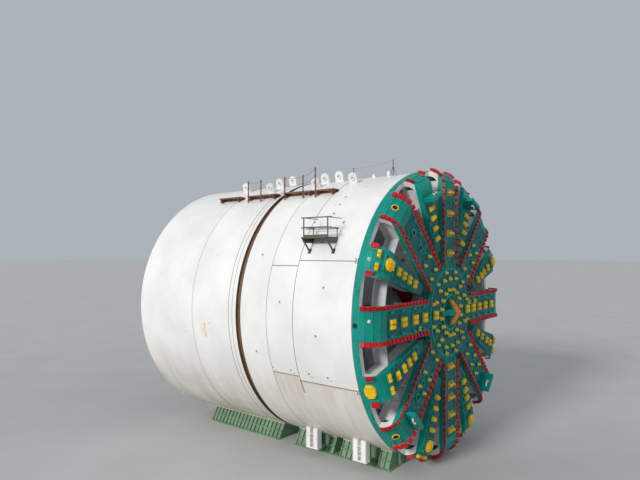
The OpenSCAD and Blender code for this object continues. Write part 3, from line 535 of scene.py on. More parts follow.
def slab(bits, pockets, m):
    """The flat yellow wear slab near the rim, bolted at its corners."""
    outline = ((0.30, 0.16), (0.16, 0.38), (-0.16, 0.38), (-0.30, 0.16), (-0.30, -0.16), (-0.16, -0.38),
               (0.16, -0.38), (0.30, -0.16))
    steps = ((1.0, -0.06), (1.0, 0.09), (0.93, 0.12))
    bits.loft([[(x * k, y * k, z) for x, y in outline] for k, z in steps], m)
    for x in (0.16, -0.16):
        for y in (0.22, -0.22):
            pockets.bolt(m @ move(x, y, 0.118), 0.024, 0.02)


def edge_bits():
    """Red drag bits with steel tips along both edges of the spokes and at the arms' ends."""
    red, tips, seats = pieces(HEAD, edge_drag_bits="bit_red", edge_bit_tips="bare_steel",
                              edge_bit_seats="plain_teal")
    red.stands_for = "scraper_bits"
    for k in range(8):
        for e in (-1, 1):
            off = e * (SPOKE_W / 2 - 0.06)
            for i in range(14):
                m = seat(45 * k, 3.15 + i * 0.385, off)
                tool(red, m, 0.25, 0.25, 0.16, 0.02)
                tips.box(0.22, 0.028, 0.045, m @ move(y=0.128, z=0.11), 0.006)
                seats.box(0.31, 0.20, 0.035, m @ move(y=-0.10), 0.01)
            for i in range(3):
                tool(red, seat(45 * k, FLAT + 0.71 + i * 0.26, off), 0.252, 0.26, 0.16, 0.02)
            m = seat(45 * k + 22.5, FLAT + 1.10, e * (ARM_W / 2 - 0.12))
            tool(red, m, 0.42, 0.25, 0.16, 0.02)
            seats.box(0.50, 0.20, 0.035, m @ move(y=-0.12), 0.01)


def face_bits():
    """The yellow bits, spoke by spoke, where the photograph shows them."""
    bits, pockets = pieces(HEAD, yellow_face_bits="bit_yellow", face_bit_pockets="plain_teal")
    bits.stands_for = "face_bits"

    def put(bit, a, s, off, *size):
        bit(bits, pockets, head(a, s, off, LIFT), *size)

    def pair(bit, a, s, off, *size):
        for e in (-1, 1):
            put(bit, a, s, e * off, *size)

    def guards(a, s, off, *size):
        for e in (-1, 1):
            tool(pockets, seat(a, s, e * off), *size)

    for a, places in ((180, (2.08, 3.50, 4.64, 5.91, 7.09)), (0, (2.57, 3.57, 4.61, 5.71, 6.87))):
        for s in places:
            put(block_bit, a, s, 0, 0.44, 0.50, 0.18)
            guards(a, s, 0.60, 0.30, 0.16, 0.10)
    for s in (2.85, 3.85):
        put(block_bit, 0, s, 0.42, 0.24, 0.26, 0.14)
    put(block_bit, 180, 4.1, 0.55, 0.16, 0.22, 0.12)
    for a, places in ((90, (3.64, 4.86, 6.09, 7.39)), (270, (3.33, 4.43, 5.19, 6.26, 7.2))):
        for s in places:
            pair(small_bit, a, s, 0.17, 0.10, 0.2)
            pocket(bits, head(a, s, 0, LIFT), 0.32, 0.66, 0.035, 0.05)
        for i in range(6):
            guards(a, 3.1 + i * 0.78, 0.60, 0.26, 0.15, 0.09)
    for a, places in ((45, (3.35, 4.6, 5.5)), (135, (3.4, 4.5)), (225, (3.3, 4.68, 5.6)),
                      (315, (3.77, 4.9, 5.9))):
        for s in places:
            pair(small_bit, a, s, 0.37)
        for i in range(5):
            guards(a, 3.2 + i * 0.95, 0.62, 0.24, 0.14, 0.08)
    for a, places in ((22.5, (4.78, 5.45, 6.00, 6.82)), (67.5, (4.62, 5.38, 5.97, 6.55)),
                      (112.5, (4.85, 5.50, 6.15, 6.75)), (157.5, (5.05, 5.72, 6.35, 6.96)),
                      (202.5, (5.18, 5.78, 6.38, 7.07)), (247.5, (5.20, 5.83, 6.44, 7.05)),
                      (292.5, (4.99, 5.64, 6.21, 6.88)), (337.5, (4.67, 5.51, 6.41, 7.10))):
        for s in places:
            put(block_bit, a, s, 0, 0.25, 0.44, 0.17)
        if a in (67.5, 112.5):  # a lifting lug stands there
            continue
        low = a in (202.5, 337.5)
        put(slab if low else ripper, a, 9.0 if low else 7.92, 0)
        pair(block_bit, a, 7.86 if low else 8.62, 0.36, 0.20, 0.42, 0.15)
    for j in range(16):
        put(small_bit, 22.5 * j + 11.25, 1.40, 0.0, 0.10, 0.21)
        if j % 8:
            put(small_bit, 22.5 * j, 2.05 + 0.12 * (j % 2), 0.1, 0.095, 0.2)
    for j in range(12):
        put(small_bit, 30 * j + 15, 2.52, 0.0, 0.08, 0.18)


def centre():
    """Fishtail dressing: a hard-faced orange edge on the upright blade, bolted cheeks, a collar."""
    edge, side, tip, collar = pieces(HEAD, fishtail_edges="bit_orange", fishtail_cheeks="plain_teal",
                                     fishtail_tip="bare_steel", centre_collar="plain_teal")
    n = 7
    for s in (-1, 1):
        foot, top = Vector((s * 0.72, 0, 0.14)), Vector((0, 0, BIT + 0.005))
        along = (top - foot).normalized()
        off = Vector((s * along.z, 0, -s * along.x))
        step = (top - foot).length / n
        for i in range(n):
            origin = foot + along * (step * (i + 0.5)) - off * 0.08
            edge.box(step * 0.96, 0.38, 0.13, head(90, 0) @ basis(along, off.cross(along), off, origin), 0.014)
    for a, h in ((0, BIT), (90, BIT - 0.06), (180, BIT), (270, BIT - 0.06)):
        m = head(a, 0)
        side.plate([(0.10, 0.02), (0.62, 0.02), (0.60, 0.13), (0.10, h * 0.72)], 0.03,
                   m @ move(y=-0.158) @ turn(90, "X"))
        for x, z in ((0.2, 0.12), (0.4, 0.10), (0.2, 0.30)):
            side.bolt(m @ move(x, -0.186, z) @ turn(90, "X"), 0.022, 0.02)
    tip.disc([(0.06, 0.0), (0.06, 0.10), (0.03, 0.12)], head(0, 0, 0, BIT - 0.06), 12)
    collar.hoop(1.12, 0.98, 0.0, 0.07, head(0, 0), 48, 0.015)
    collar.bolts(head(0, 0), 24, 1.05, 0.022, 0.03, z=0.07)
    collar.hoop(2.72, 2.62, 0.0, 0.03, head(0, 0), 64, 0.008)


def head_plates():
    """Wear plates round the rim and on the spokes' outer ends, ports, cones and pads."""
    plates, ports, rims, flanges, cones, pads = pieces(
        HEAD, rim_wear_plates="plain_teal", face_ports="cutter_dark", face_port_rims="bit_yellow",
        face_port_flanges="plain_teal", grout_cones="shield_white", rim_pads="plain_teal")
    n, gap, port = 96, 0.12, (178.85, 181.15)  # the copy cutter comes out of the port
    for row, (z0, z1) in enumerate(((0.02, 0.175), (0.19, 0.36))):
        for i in range(n):
            a0, a1 = 360 / n * (i + row / 2) + gap, 360 / n * (i + 1 + row / 2) - gap
            cut = a0 < port[1] and a1 > port[0]
            for b0, b1 in ((a0, min(a1, port[0])), (max(a0, port[1]), a1)) if cut else ((a0, a1),):
                if b1 - b0 > 0.2:
                    plates.arc(HEAD_R + 0.012, HEAD_R - 0.02, z0, z1, b0, b1, at(-HEAD_GAP), 2)
    plates.hoop(0.168, 0.142, 0.0, 0.022, at(-HEAD_GAP - 0.19, 180, HEAD_R - 0.004) @ turn(90, "Y"), 24, 0.004)
    for k in range(8):
        for j, (s0, s1) in enumerate(((7.62, 8.02), (8.06, 8.46), (8.50, 8.88), (8.92, 9.24))):
            s = (s0 + s1) / 2
            for off in (-0.52, 0.0, 0.52):
                plates.box(s1 - s0, 0.50, 0.022, head(45 * k, s, off, -0.004), 0.004)
            if j > 1:
                plates.box(s1 - s0, 0.9, 0.02, head(45 * k + 22.5, s, 0, -0.004), 0.004)
    for a, places in ((45, (5.55, 6.69)), (135, (5.55, 6.69)), (225, (5.2, 6.1)), (315, (5.2, 6.1))):
        m = head(a, 8.67, 0, 0.012)
        ports.disc([(0.13, 0), (0.13, 0.05), (0.09, 0.02)], m, 20)
        rims.hoop(0.20, 0.15, 0.0, 0.045, m, 20, 0.01)
        for j in range(8):
            rims.box(0.05, 0.03, 0.05, m @ turn(45 * j) @ move(x=0.215), 0.008)
        for s in places:
            m = head(a, s, -0.02)
            ports.disc([(0.14, 0.0), (0.14, 0.03), (0.10, 0.012)], m, 20)
            flanges.hoop(0.23, 0.15, 0.0, 0.06, m, 20, 0.012)
            flanges.bolts(m, 8, 0.19, 0.013, 0.016, z=0.06)
    for a in (0, 90, 180, 270):
        for off in (-0.62, 0.62):
            flanges.hoop(0.12, 0.07, 0.0, 0.05, head(a, 3.0, off), 16, 0.01)
            ports.disc([(0.07, 0.0), (0.07, 0.03), (0.05, 0.01)], head(a, 3.0, off), 16)
    for a, s, off in ((180, 8.70, -0.25), (157.5, 9.05, 0.0), (0, 8.70, 0.25), (337.5, 9.05, 0.0)):
        cones.disc([(0.10, 0), (0.09, 0.02), (0.035, 0.16), (0.02, 0.17)], head(a, s, off, 0.012), 14)
    for k in range(16):
        m = at(-HEAD_GAP - 0.19, 22.5 * k + 11.25, HEAD_R + 0.01) @ turn(90, "Y")
        pads.box(0.22, 0.34, 0.045, m, 0.02)
        for e in (-1, 1):
            pads.bolt(m @ move(y=e * 0.12, z=0.045), 0.018, 0.02)


def head_ribs():
    """Small white ribs on the webs of the main spokes, and nozzles between them."""
    ribs, nozzles = pieces(HEAD, web_ribs="shield_white", web_nozzles="bare_steel")
    for k in range(8):
        m = at(-HEAD_GAP, 45 * k)
        for e in (-1, 1):
            for x, h in ((6.0, 0.85), (4.6, 0.6)):
                ribs.box(0.06, 0.34, h, m @ move(x, e * 0.70, 0.06), 0.01)
            nozzles.disc([(0.11, 0), (0.11, 0.03), (0.06, 0.04), (0.06, 0.13), (0.045, 0.14)],
                         m @ move(5.3, e * 0.69, 0.45) @ turn(-90 * e, "X"), 14)


def lugs():
    """Shackles in the lifting lugs."""
    bows, pins = pieces(HEAD, lug_shackles="shield_white", lug_shackle_pins="bare_steel")
    bows.smooth = True
    w = 0.17
    bend = [(-w * x, -0.24 - 0.14 * y, 0) for x, y, _ in (polar(1, 15 * i) for i in range(13))]
    for a in (67.5, 112.5, 225, 315):
        m = head(a, 0) @ move(x=7.45, z=0.4)
        bows.pipe([(-w, 0.02, 0), (-w, -0.12, 0), *bend, (w, -0.12, 0), (w, 0, 0)], 0.05, 10, m)
        for e in (-1, 1):
            bows.disc([(0.09, -0.035), (0.09, 0.035)], m @ move(x=e * w) @ turn(90, "Y"), 16)
        pins.disc([(0.05, -0.25), (0.05, 0.25)], m @ turn(90, "Y"), 12)
        pins.disc([(0.08, 0.21), (0.08, 0.26)], m @ turn(90, "Y"), 6)


# ---------------------------------------------------------------- shield
def shell_details():
    """Ports, rim lugs and weld beads on the outside of the shield."""
    ports = Piece("skin_ports", FRONT, "bare_steel", "shield_white")
    caps, beads = pieces(FRONT, skin_port_caps="shield_white", weld_beads="shield_front")
    rear, rear_beads = pieces(TAIL, tail_port_caps="shield_white", tail_weld_beads="shield_tail")
    high = ((3.85, 51.5), (1.76, 52.1), (1.91, 29.5), (2.75, 37.0), (2.74, 42.1), (2.76, 47.3), (2.72, 60.9),
            (1.9, 78.0), (2.3, 95.0), (4.9, 84.0), (6.9, 66.0), (6.9, 104.0))
    low = ((5.83, 109.7), (4.45, 109.6), (3.16, 109.9), (1.87, 110.1))
    for side in (1, -1):
        for d, a in high + low:
            m = skin(d, side * a)
            caps.hoop(0.10, 0.062, -0.01, 0.018, m, 20, 0.005)
            ports.disc([(0.066, -0.02), (0.066, 0.006), (0.05, 0.012)], m, 16)
        for a in (68.2, 113.5):
            m = skin(0.09, side * a)
            caps.box(0.17, 0.30, 0.07, m @ move(z=-0.01), 0.02)
            caps.box(0.09, 0.10, 0.12, m @ move(z=0.04), 0.02)
            ports.disc([(0.03, -0.11), (0.03, 0.11)], m @ move(z=0.10) @ turn(90, "X"), 10)
        for d, a in low:
            m = skin(d - 0.17, side * (a + 0.9))
            caps.box(0.16, 0.12, 0.045, m @ move(z=-0.005), 0.012)
            ports.bolt(m @ move(z=0.04), 0.02, 0.02)
        for d, a in ((9.81, 42.3), (10.9, 66.0), (10.9, 95.0), (13.4, 58.0), (13.4, 100.0), (16.2, 75.0)):
            m = skin(d, side * a)
            rear.hoop(0.09, 0.055, -0.01, 0.016, m, 18, 0.005)
            rear.disc([(0.05, -0.02), (0.05, 0.005), (0.04, 0.008)], m, 14)
    for d in (3.985, 5.85):
        beads.hoop(SHIELD_R + 0.006, SHIELD_R - 0.004, -0.022, 0.022, at(d), 180, 0.003)
    for d in (8.81, 9.13, 12.46):
        rear_beads.hoop(SHIELD_R + 0.005, SHIELD_R - 0.004, -0.018, 0.018, at(d), 180, 0.003)


def crown():
    """Boards, ropes and small posts of the walkway along the crown."""
    plank_z, rope_x, post_x = 7.557, -5.08, -5.07
    post, mast_at = (-1.7, 4.6), (-2.2, 1.3)
    for name, body, d0, d1, n, look in (("front", FRONT, 3.8, 5.3, 1, "plank"),
                                        ("middle", FRONT, 5.55, 7.95, 2, "plank"),
                                        ("rear", TAIL, 8.6, 11.2, 2, "plank"),
                                        ("last", TAIL, 12.0, 14.1, 2, "walkway_brown")):
        boards = Piece(name + "_walk_boards", body, look)
        length = (d1 - d0) / n
        for i in range(3):
            for j in range(n):
                m = place(i * 0.208 - 4.945, d0 + length * (j + 0.5) + 0.03 * (i - 1), plank_z - 0.002)
                boards.box(0.196, length - 0.04 - 0.02 * i, 0.035, m, 0.006)
        for j in range(int((d1 - d0) / 0.9)):
            boards.box(0.60, 0.07, 0.05, place(-4.74, d0 + 0.45 + j * 0.9, plank_z - 0.1), 0.006)
    for side, body, posts in (("front", FRONT, ((5.18, 8.95), (6.18, 8.55), (7.73, 8.55))),
                              ("rear", TAIL, ((9.88, 8.55), (11.08, 8.55)))):
        ropes, caps = pieces(body, **{side + "_crown_ropes": "rope", side + "_post_clamps": "rail_dark"})
        for low, drop in ((0.06, 0.06), (0.5, 0.11)):
            for (d0, z0), (d1, z1) in zip(posts, posts[1:]):
                ropes.pipe(sag(spot(rope_x, d0, z0 - low), spot(rope_x, d1, z1 - low), drop), 0.016, 6)
            for d, z in posts:
                caps.box(0.085, 0.085, 0.05, place(post_x, d, z - low - 0.025), 0.01)
        for d, _ in posts:
            caps.box(0.16, 0.16, 0.02, place(post_x, d, plank_z - 0.33), 0.004)
    posts, mast, line, fins = pieces(FRONT, crown_posts="post_red", crown_mast="rail_dark", crown_line="rope",
                                     crown_fins="shield_white")

    def crest(x):
        """Height of the skin's top above the axis."""
        return math.sqrt(SHIELD_R ** 2 - x ** 2)

    posts.bar((*post, crest(post[0]) - 0.02), (*post, 9.3), 0.035)
    posts.box(0.26, 0.26, 0.03, place(*post, crest(post[0]) - 0.005), 0.008)
    mast.bar((*mast_at, crest(mast_at[0]) + 0.05), (*mast_at, 9.45), 0.028)
    for a in (0.4, 2.5, 4.6):
        x, d = mast_at[0] + 0.22 * math.cos(a), mast_at[1] + 0.26 * math.sin(a)
        mast.bar((*mast_at, crest(mast_at[0]) + 0.62), (x, d, crest(x) - 0.01), 0.018, 6)
    line.pipe(sag(spot(*mast_at, 9.4), spot(*post, 9.26), 0.10), 0.010, 5)
    for d, a, h in ((2.2, 8.0, 0.34), (2.9, 12.5, 0.22), (2.9, 30.0, 0.10), (1.5, 16.0, 0.16)):
        for side in (1, -1):
            fins.fin([(-0.13, -0.02), (0.13, -0.02), (0.06, h), (-0.06, h)], 0.05, skin(d, side * a))


def platform():
    """The side platform's boards, rails past the posts, struts and kick plate."""
    boards = Piece("side_platform_boards", FRONT, "plank", "walkway_grey")
    rails = Piece("side_platform_rails", FRONT, "rail_dark")
    for i in range(3):
        boards.box(0.28, 1.66, 0.03, place(i * 0.30 - 8.27, 2.55, 4.498), 0.006)
    for z in (5.575, 5.025):
        rails.bar((-8.43, 1.42, z), (-8.43, 3.52, z), 0.03)
    for d in (1.73, 3.37):
        rails.bar((-8.55, d, 4.5), (-7.86, d, 3.72), 0.05)
        rails.bar((-7.52, d, 4.42), (-7.52, d, 5.0), 0.025)
        rails.bar((-8.38, d, 5.575), (-7.1, d, 5.555), 0.022)
        rails.bar((-8.38, d, 5.025), (-7.40, d, 5.025), 0.022)
        rails.box(0.22, 0.30, 0.025, skin(d, 64.5) @ move(z=-0.005), 0.008)
    rails.bar((-7.52, 1.6, 4.98), (-7.52, 3.9, 4.98), 0.022)
    rails.box(0.02, 1.66, 0.14, place(-8.40, 2.55, 4.50), 0.004)


def cradles():
    """Cap strips and foot flanges of the cradles, plates and bolts of the brackets."""
    for name, body, d0, d1, piers in (
            ("front", FRONT, 0.5, 7.75, ((0.65, 1.40), (2.60, 4.13), (4.65, 5.15), (6.10, 7.70))),
            ("rear", TAIL, 9.1, 15.95, ((9.10, 15.95),))):
        caps, flange = pieces(body, **{name + "_cradle_caps": "cap_strip",
                                       name + "_cradle_flanges": "cradle_green"})
        n = int((d1 - d0) / 0.74)
        for e in (-1, 1):
            for a, b in piers:
                caps.box(0.15, b - a + 0.03, 0.045, stand(e * 3.50, (a + b) / 2, 0.945), 0.008)
                m = stand(e * 3.80, (a + b) / 2, 0.475) @ turn(e * 31.0, "Y") @ move(x=e * 0.03)
                flange.box(0.03, b - a, 0.09, m, 0.005)
            flange.box(0.10, d1 - d0, 0.035, stand(e * 4.08, (d0 + d1) / 2, 0), 0.008)
            for i in range(n):
                m = stand(e * 4.09, d0 + 0.37 + i * (d1 - d0 - 0.74) / (n - 1), 0.035)
                flange.bolt(m, 0.018, 0.025)
            for d in (d0, d1):
                flange.box(0.5, 0.03, 0.24, stand(e * 1.9, d, 0.06), 0.006)
    trim, bolts = pieces(FRONT, bracket_trim="shield_white", bracket_bolts="bare_steel")
    for e in (-1, 1):
        for d in (1.5, 5.02):
            for f in (0.02, 0.33, 0.58, 0.89):
                trim.box(0.05, 0.022, 1.20, stand(e * 5.05, d + f, 0.56), 0.004)
            for z in (0.84, 1.12, 1.40):
                trim.box(0.26, 0.22, 0.03, stand(e * 4.90, d + 0.455, z), 0.004)
            trim.box(0.46, 0.97, 0.03, stand(e * 4.85, d + 0.455, 0.53), 0.008)
            for f in (0.08, 0.83):
                for x in (4.72, 5.02):
                    bolts.bolt(stand(e * x, d + f, 0.53) @ turn(180, "X"), 0.02, 0.02)


# ---------------------------------------------------------------- inside the front shield
def chamber():
    """Bolts, pipes and fittings in front of the bulkhead."""
    pale, dark, dogs = pieces(FRONT, chamber_fittings="chamber_white", chamber_nozzles="cutter_dark",
                              hatch_dogs="door_blue")
    pale.bolts(at(BULKHEAD_D), 48, 8.35, 0.035, 0.04)
    for a in (5, 62, 98, 150, 175, 205, 250, 290, 335):
        m = at(BULKHEAD_D, a, 6.6)
        pale.hoop(0.22, 0.13, 0.0, 0.08, m, 20, 0.015)
        dark.disc([(0.13, 0.0), (0.13, 0.05), (0.09, 0.02)], m, 20)
    for a in (12, 78, 103, 140, 168, 195, 240, 262, 282, 320, 348):
        pale.box(1.9, 0.06, 0.16, at(BULKHEAD_D, a, 7.3), 0.01)
    for k in range(24):
        pale.fin([(8.58, -1.2), (8.30, -1.2), (8.30, -1.9), (8.58, -2.2)], 0.05, at(0.0, 15 * k + 4))
    for body, m in hatches(BULKHEAD_D - 0.136):
        m = m @ turn(90, "X")
        door = Piece(body + "_fittings", body, "bare_steel")
        door.hoop(0.17, 0.14, 0.06, 0.09, m, 24, 0.01)
        for i in range(4):
            door.pipe([polar(0.15, 45 * i, 0.075), polar(-0.15, 45 * i, 0.075)], 0.012, 6, m)
        door.disc([(0.05, 0.0), (0.05, 0.08), (0.03, 0.10)], m, 12)
        door.hoop(HATCH_W / 2 - 0.10, HATCH_W / 2 - 0.14, 0.0, 0.03, m @ move(y=0.06), 24, 0.008)
        for x, y, _ in (polar(1, 30 * i) for i in range(12)):
            dogs.bolt(m @ move(x * (HATCH_W / 2 + 0.03), y * (HATCH_H / 2 + 0.03), -0.096), 0.02, 0.03)
    bolts, weld = pieces(HEAD, hub_bolts="bare_steel", leg_collars="chamber_white")
    bolts.bolts(at(0.5), 36, 1.57, 0.02, 0.025)
    bolts.bolts(at(LEG_D), 60, 5.3, 0.025, 0.03, start=3)
    for i in range(6):
        bolts.bolts(at(0.825, 30 + 60 * i, 3.08) @ turn(90, "Y") @ turn(180, "X"), 12, 0.255, 0.014, 0.018)
    for k in range(8):
        leg = at(LEG_D, 45 * k, LEG_R)
        for x in (-0.52, 0.52):
            for y in (-0.52, 0.0, 0.52):
                bolts.bolt(leg @ move(x, y), 0.03, 0.03)
        pocket(weld, leg, 1.3, 1.3, 0.06, 0.09)
        pocket(weld, at(0.02, 45 * k, LEG_R), 1.3, 1.3, 0.05, 0.05)
        for e in (-1, 1):
            weld.fin([(-0.25, 0.0), (0.25, 0.0), (0.05, 0.55), (-0.05, 0.55)], 0.06, leg @ move(y=e * 0.72))


def machinery():
    """Bolts, hoses and boxes behind the bulkhead."""
    ribs, motors, boxes, hoses, locks, glass = pieces(
        FRONT, bulkhead_ribs="chamber_white", motor_fins="motor_blue", motor_boxes="door_blue",
        motor_cables="rubber", man_lock_fittings="shield_white", man_lock_ports="cutter_dark")
    hoses.smooth = True
    for k in range(24):
        a = 15 * k + 7.5
        if not (abs(a - 270) < 18 or 40 < a < 80):
            ribs.fin([(5.3, 0.0), (8.56, 0.0), (8.56, -0.7), (6.2, -0.25), (5.3, -0.25)], 0.05, at(2.75, a))
    ribs.bolts(back(3.0), 72, 5.03, 0.03, 0.03)
    for i in range(1, 21):
        m = back(3.9, (i + 0.5) * 360 / 22 - 90, 4.1)
        motors.hoop(0.38, 0.32, 0.0, 0.05, m, 20, 0.01)
        for j in range(9):
            motors.hoop(0.285, 0.24, 0.78 + j * 0.075, 0.80 + j * 0.075, m, 20)
        motors.bolts(m, 10, 0.35, 0.014, 0.02, z=0.05)
        boxes.box(0.20, 0.26, 0.30, m @ move(x=-0.30, z=0.95), 0.02)
        hoses.pipe([(-0.42, 0, 1.1), (-0.55, 0.05, 1.2), (-0.8, 0.1, 1.0), (-0.95, 0.1, 0.4),
                    (-0.95, 0.1, -0.1)], 0.03, 7, m)
    for _, m in hatches(6.35):
        m = m @ turn(-90, "X")
        for r, z0, z1 in ((0.80, -0.10, 0.0), (0.77, -1.2, -1.12), (0.77, -2.4, -2.32)):
            locks.hoop(r, 0.72, z0, z1, m, 40, 0.01)
        locks.hoop(0.40, 0.32, 0.0, 0.05, m, 28, 0.01)
        locks.bolts(m, 24, 0.765, 0.016, 0.02)
        glass.disc([(0.12, 0.0), (0.12, 0.03), (0.10, 0.035)], m @ move(y=-0.55), 16)


def screw_parts():
    """Bolts, motors, pipes and hatches on the screw conveyor, and the rams of its gate."""
    bolts, pale, blue, hose, ram = pieces(
        FRONT, screw_bolts="bare_steel", screw_fittings="chamber_white", screw_motors="motor_blue",
        screw_hoses="rubber", gate_ram="bare_steel")
    ez, ex = Vector((0, *polar(1, 20)[:2])), Vector((1, 0, 0))
    f = basis(ex, ez.cross(ex), ez, spot(0, 2.33, -6.75))
    for i in range(1, 6):
        bolts.bolts(f @ move(z=i * 2.6 + 0.06), 24, 0.86, 0.02, 0.025)
        bolts.bolts(f @ move(z=i * 2.6 - 0.06) @ turn(180, "X"), 24, 0.86, 0.02, 0.025)
    bolts.bolts(f, 30, 0.74, 0.018, 0.02, z=15.7)
    for z in (3.9, 6.5, 9.1, 11.7):
        m = f @ turn(90) @ move(x=0.775, z=z) @ turn(90, "Y")
        pale.box(0.7, 0.5, 0.05, m, 0.015)
        for x in (-0.3, 0.0, 0.3):
            for y in (-0.2, 0.2):
                bolts.bolt(m @ move(x, y, 0.05), 0.018, 0.02)
    pale.hoop(0.92, 0.78, 15.3, 15.45, f, 48, 0.02)
    for a in (30, 90, 150, 210, 330):
        m = f @ turn(a) @ move(x=0.52, z=15.69)
        blue.disc([(0.19, 0.0), (0.19, 0.35), (0.15, 0.40), (0.15, 0.75), (0.12, 0.78)], m, 20)
        blue.hoop(0.23, 0.18, 0.0, 0.05, m, 20, 0.01)
        for k in range(5):
            blue.hoop(0.175, 0.145, 0.43 + 0.06 * k, 0.45 + 0.06 * k, m, 20)
    for a, r in ((60, 0.03), (52, 0.03), (128, 0.04)):
        hose.pipe([polar(0.94, a, z) for z in (2.7, 6.0, 9.0, 12.0, 15.2)], r, 8, f)
    for z in (3.2, 5.8, 8.4, 11.0, 13.6):
        for a in (56, 128):
            for x, l, w in ((0.90, 0.06, 0.26), (0.84, 0.12, 0.05)):
                pale.box(l, w, 0.05, f @ turn(a) @ move(x=x, z=z), 0.008)
    for z in (14.05, 14.75):
        m = f @ move(-1.9, 1.45, z) @ turn(90, "Y")
        ram.disc([(0.06, 0.0), (0.06, 1.1), (0.05, 1.12)], m, 14)
        ram.disc([(0.03, 1.1), (0.03, 1.24), (0.025, 1.25)], m, 10)


# ---------------------------------------------------------------- tail
def jacks():
    """Flanges, ports and hoses of the thrust jacks, pads and bolts of their shoes."""
    flanges, glands, hoses = pieces(TAIL, jack_flanges="motor_blue", jack_glands="bare_steel",
                                    jack_hoses="rubber")
    shoe = 360 / 28
    for i in range(56):
        m = back(JACK_D, 90 + shoe * (i // 2 + (i % 2 - 0.5) / 2), JACK_R)
        for ro, ri, z0, z1 in ((0.27, 0.19, 0.02, 0.10), (0.255, 0.20, 2.0, 2.09), (0.265, 0.20, 4.0, 4.12)):
            flanges.hoop(ro, ri, z0, z1, m, 20, 0.012)
        glands.hoop(0.205, 0.157, 4.145, 4.19, m, 20, 0.008)
        glands.bolts(m, 6, 0.235, 0.014, 0.02, z=0.10, start=30)
        for z in (3.7, 0.3):
            flanges.box(0.10, 0.12, 0.16, m @ move(x=-0.23, z=z), 0.012)
        hoses.pipe([(-0.27, 0, 3.78), (-0.32, 0, 3.74), (-0.33, 0.02, 3.2), (-0.33, 0.02, 1.2), (-0.31, 0, 0.6),
                    (-0.27, 0, 0.42)], 0.022, 6, m)
    for r in (7.50, 7.56, 7.62):
        hoses.hoop(r + 0.025, r - 0.025, 0.25, 0.30, back(JACK_D), 120)
    for quarter, first in (("top", 25), ("left", 4), ("bottom", 11), ("right", 18)):
        pads, bolts = pieces("jacks_" + quarter, **{"shoe_pads_" + quarter: "rubber",
                                                    "shoe_bolts_" + quarter: "bare_steel"})
        for a in (90 + i * shoe for i in range(first, first + 7)):
            pads.arc(8.21, 7.89, 0.0, 0.035, -4.9, 4.9, back(14.67, a), 6)
            for e in (-1, 1):
                m = at(14.41, a + e * shoe / 4, JACK_R)
                bolts.hoop(0.22, 0.157, 0.0, 0.03, m, 20, 0.006)
                bolts.bolts(m, 6, 0.19, 0.012, 0.012, z=0.03)


def thrust():
    """Ribs of the thrust ring, brushes of the tail seals and the tail's lip."""
    ribs, lip = pieces(TAIL, thrust_ring_ribs="shield_white", tail_lip="shield_white")
    for k in range(56):
        ribs.fin([(7.38, -0.10), (8.50, -0.10), (8.50, -0.80), (7.38, -0.80)], 0.04,
                 at(9.3, 90 + 360 / 56 * (k + 0.5)))
    lip.hoop(8.575, 8.50, 0.0, 0.05, back(18.12), 160, 0.01)
    section = ((8.46, -0.20), (8.46, -0.02), (8.33, 0.07), (8.31, 0.0))
    for row in "123":
        brush, plate = pieces(TAIL, **{"seal_brush_" + row: "seal_brush", "seal_plates_" + row: "rusty_steel"})
        d = 18.82 - 0.75 * int(row)
        for k in range(120):
            brush.loft([[polar(r, 3 * k + a, z) for r, z in section] for a in (0.06, 1.5, 2.94)], back(d))
        for k in range(60):
            plate.arc(8.45, 8.425, -0.21, -0.10, 6 * k + 0.2, 6 * k + 5.8, back(d), 3)
            plate.bolt(at(d - 0.155, 6 * k + 3, 8.425) @ turn(-90, "Y"), 0.018, 0.018)


def erector_ring():
    """Teeth, bolts, trim, hoses and rams of the erector's ring."""
    teeth, trim, rams, hose = pieces(ERECTOR, erector_gear="bare_steel", erector_trim="erector_yellow",
                                     gripper_rams="bare_steel", erector_hoses="rubber")
    hose.smooth = True
    n = 150
    tooth = ((0.0, 4.70), (0.30, 4.62), (0.62, 4.62), (0.92, 4.70))
    outline = [(r, 360 / n * (k + a)) for k in range(n) for a, r in tooth]
    teeth.loft([[polar(4.78 if behind else r, a, z) for r, a in outline]
                for behind, z in ((0, 0.0), (0, 0.25), (1, 0.25), (1, 0.0))], back(12.70), closed=True)
    rear = back(ERECTOR_D)
    teeth.bolts(rear, 90, 5.38, 0.028, 0.03)
    teeth.bolts(rear, 45, 4.85, 0.024, 0.03, start=4)
    for ro, ri in ((5.50, 5.44), (4.78, 4.72)):
        trim.hoop(ro, ri, 0.0, 0.05, rear, 120, 0.01)
    for e in (-1, 1):
        m = place(e * 0.95, 14.4, 4.3) @ turn(-90, "X")
        for y in (0.15, 0.75, 1.35, 1.95):
            trim.box(0.34, 0.06, 0.03, m @ move(y=-y, z=-0.005), 0.004)
        for y in (0.3, 0.6, 0.9, 1.2, 1.5, 1.8):
            trim.bolt(m @ move(e * 0.09, -y), 0.02, 0.02)
        trim.box(0.05, 0.80, 0.05, place(e * 1.12, 13.95, 5.2), 0.01)
        m = place(e * 1.22, 13.95, 4.35)
        rams.disc([(0.10, 0), (0.10, 1.5), (0.085, 1.52)], m, 18)
        rams.disc([(0.05, 1.50), (0.05, 1.72), (0.045, 1.73)], m, 14)
        for z in (0.02, 1.40):
            rams.hoop(0.12, 0.095, z, z + 0.08, m, 18, 0.01)
        rams.box(0.24, 0.24, 0.06, m @ move(z=-0.05), 0.012)
    for x in (-1.2, -0.4, 0.4, 1.2):
        trim.box(0.06, 0.90, 0.6, place(x, 13.92, -5.42), 0.01)
    for a in range(5, 360, 10):
        if not (72 < a < 108 or 252 < a < 288):
            trim.box(0.62, 0.035, 0.09, back(ERECTOR_D, a, 5.10) @ move(z=-0.005), 0.006)
    for r in (5.18, 5.11, 5.04):
        hose.pipe([polar(r, 112 + 136 * k / 39, 0.13) for k in range(40)], 0.028, 6, rear)


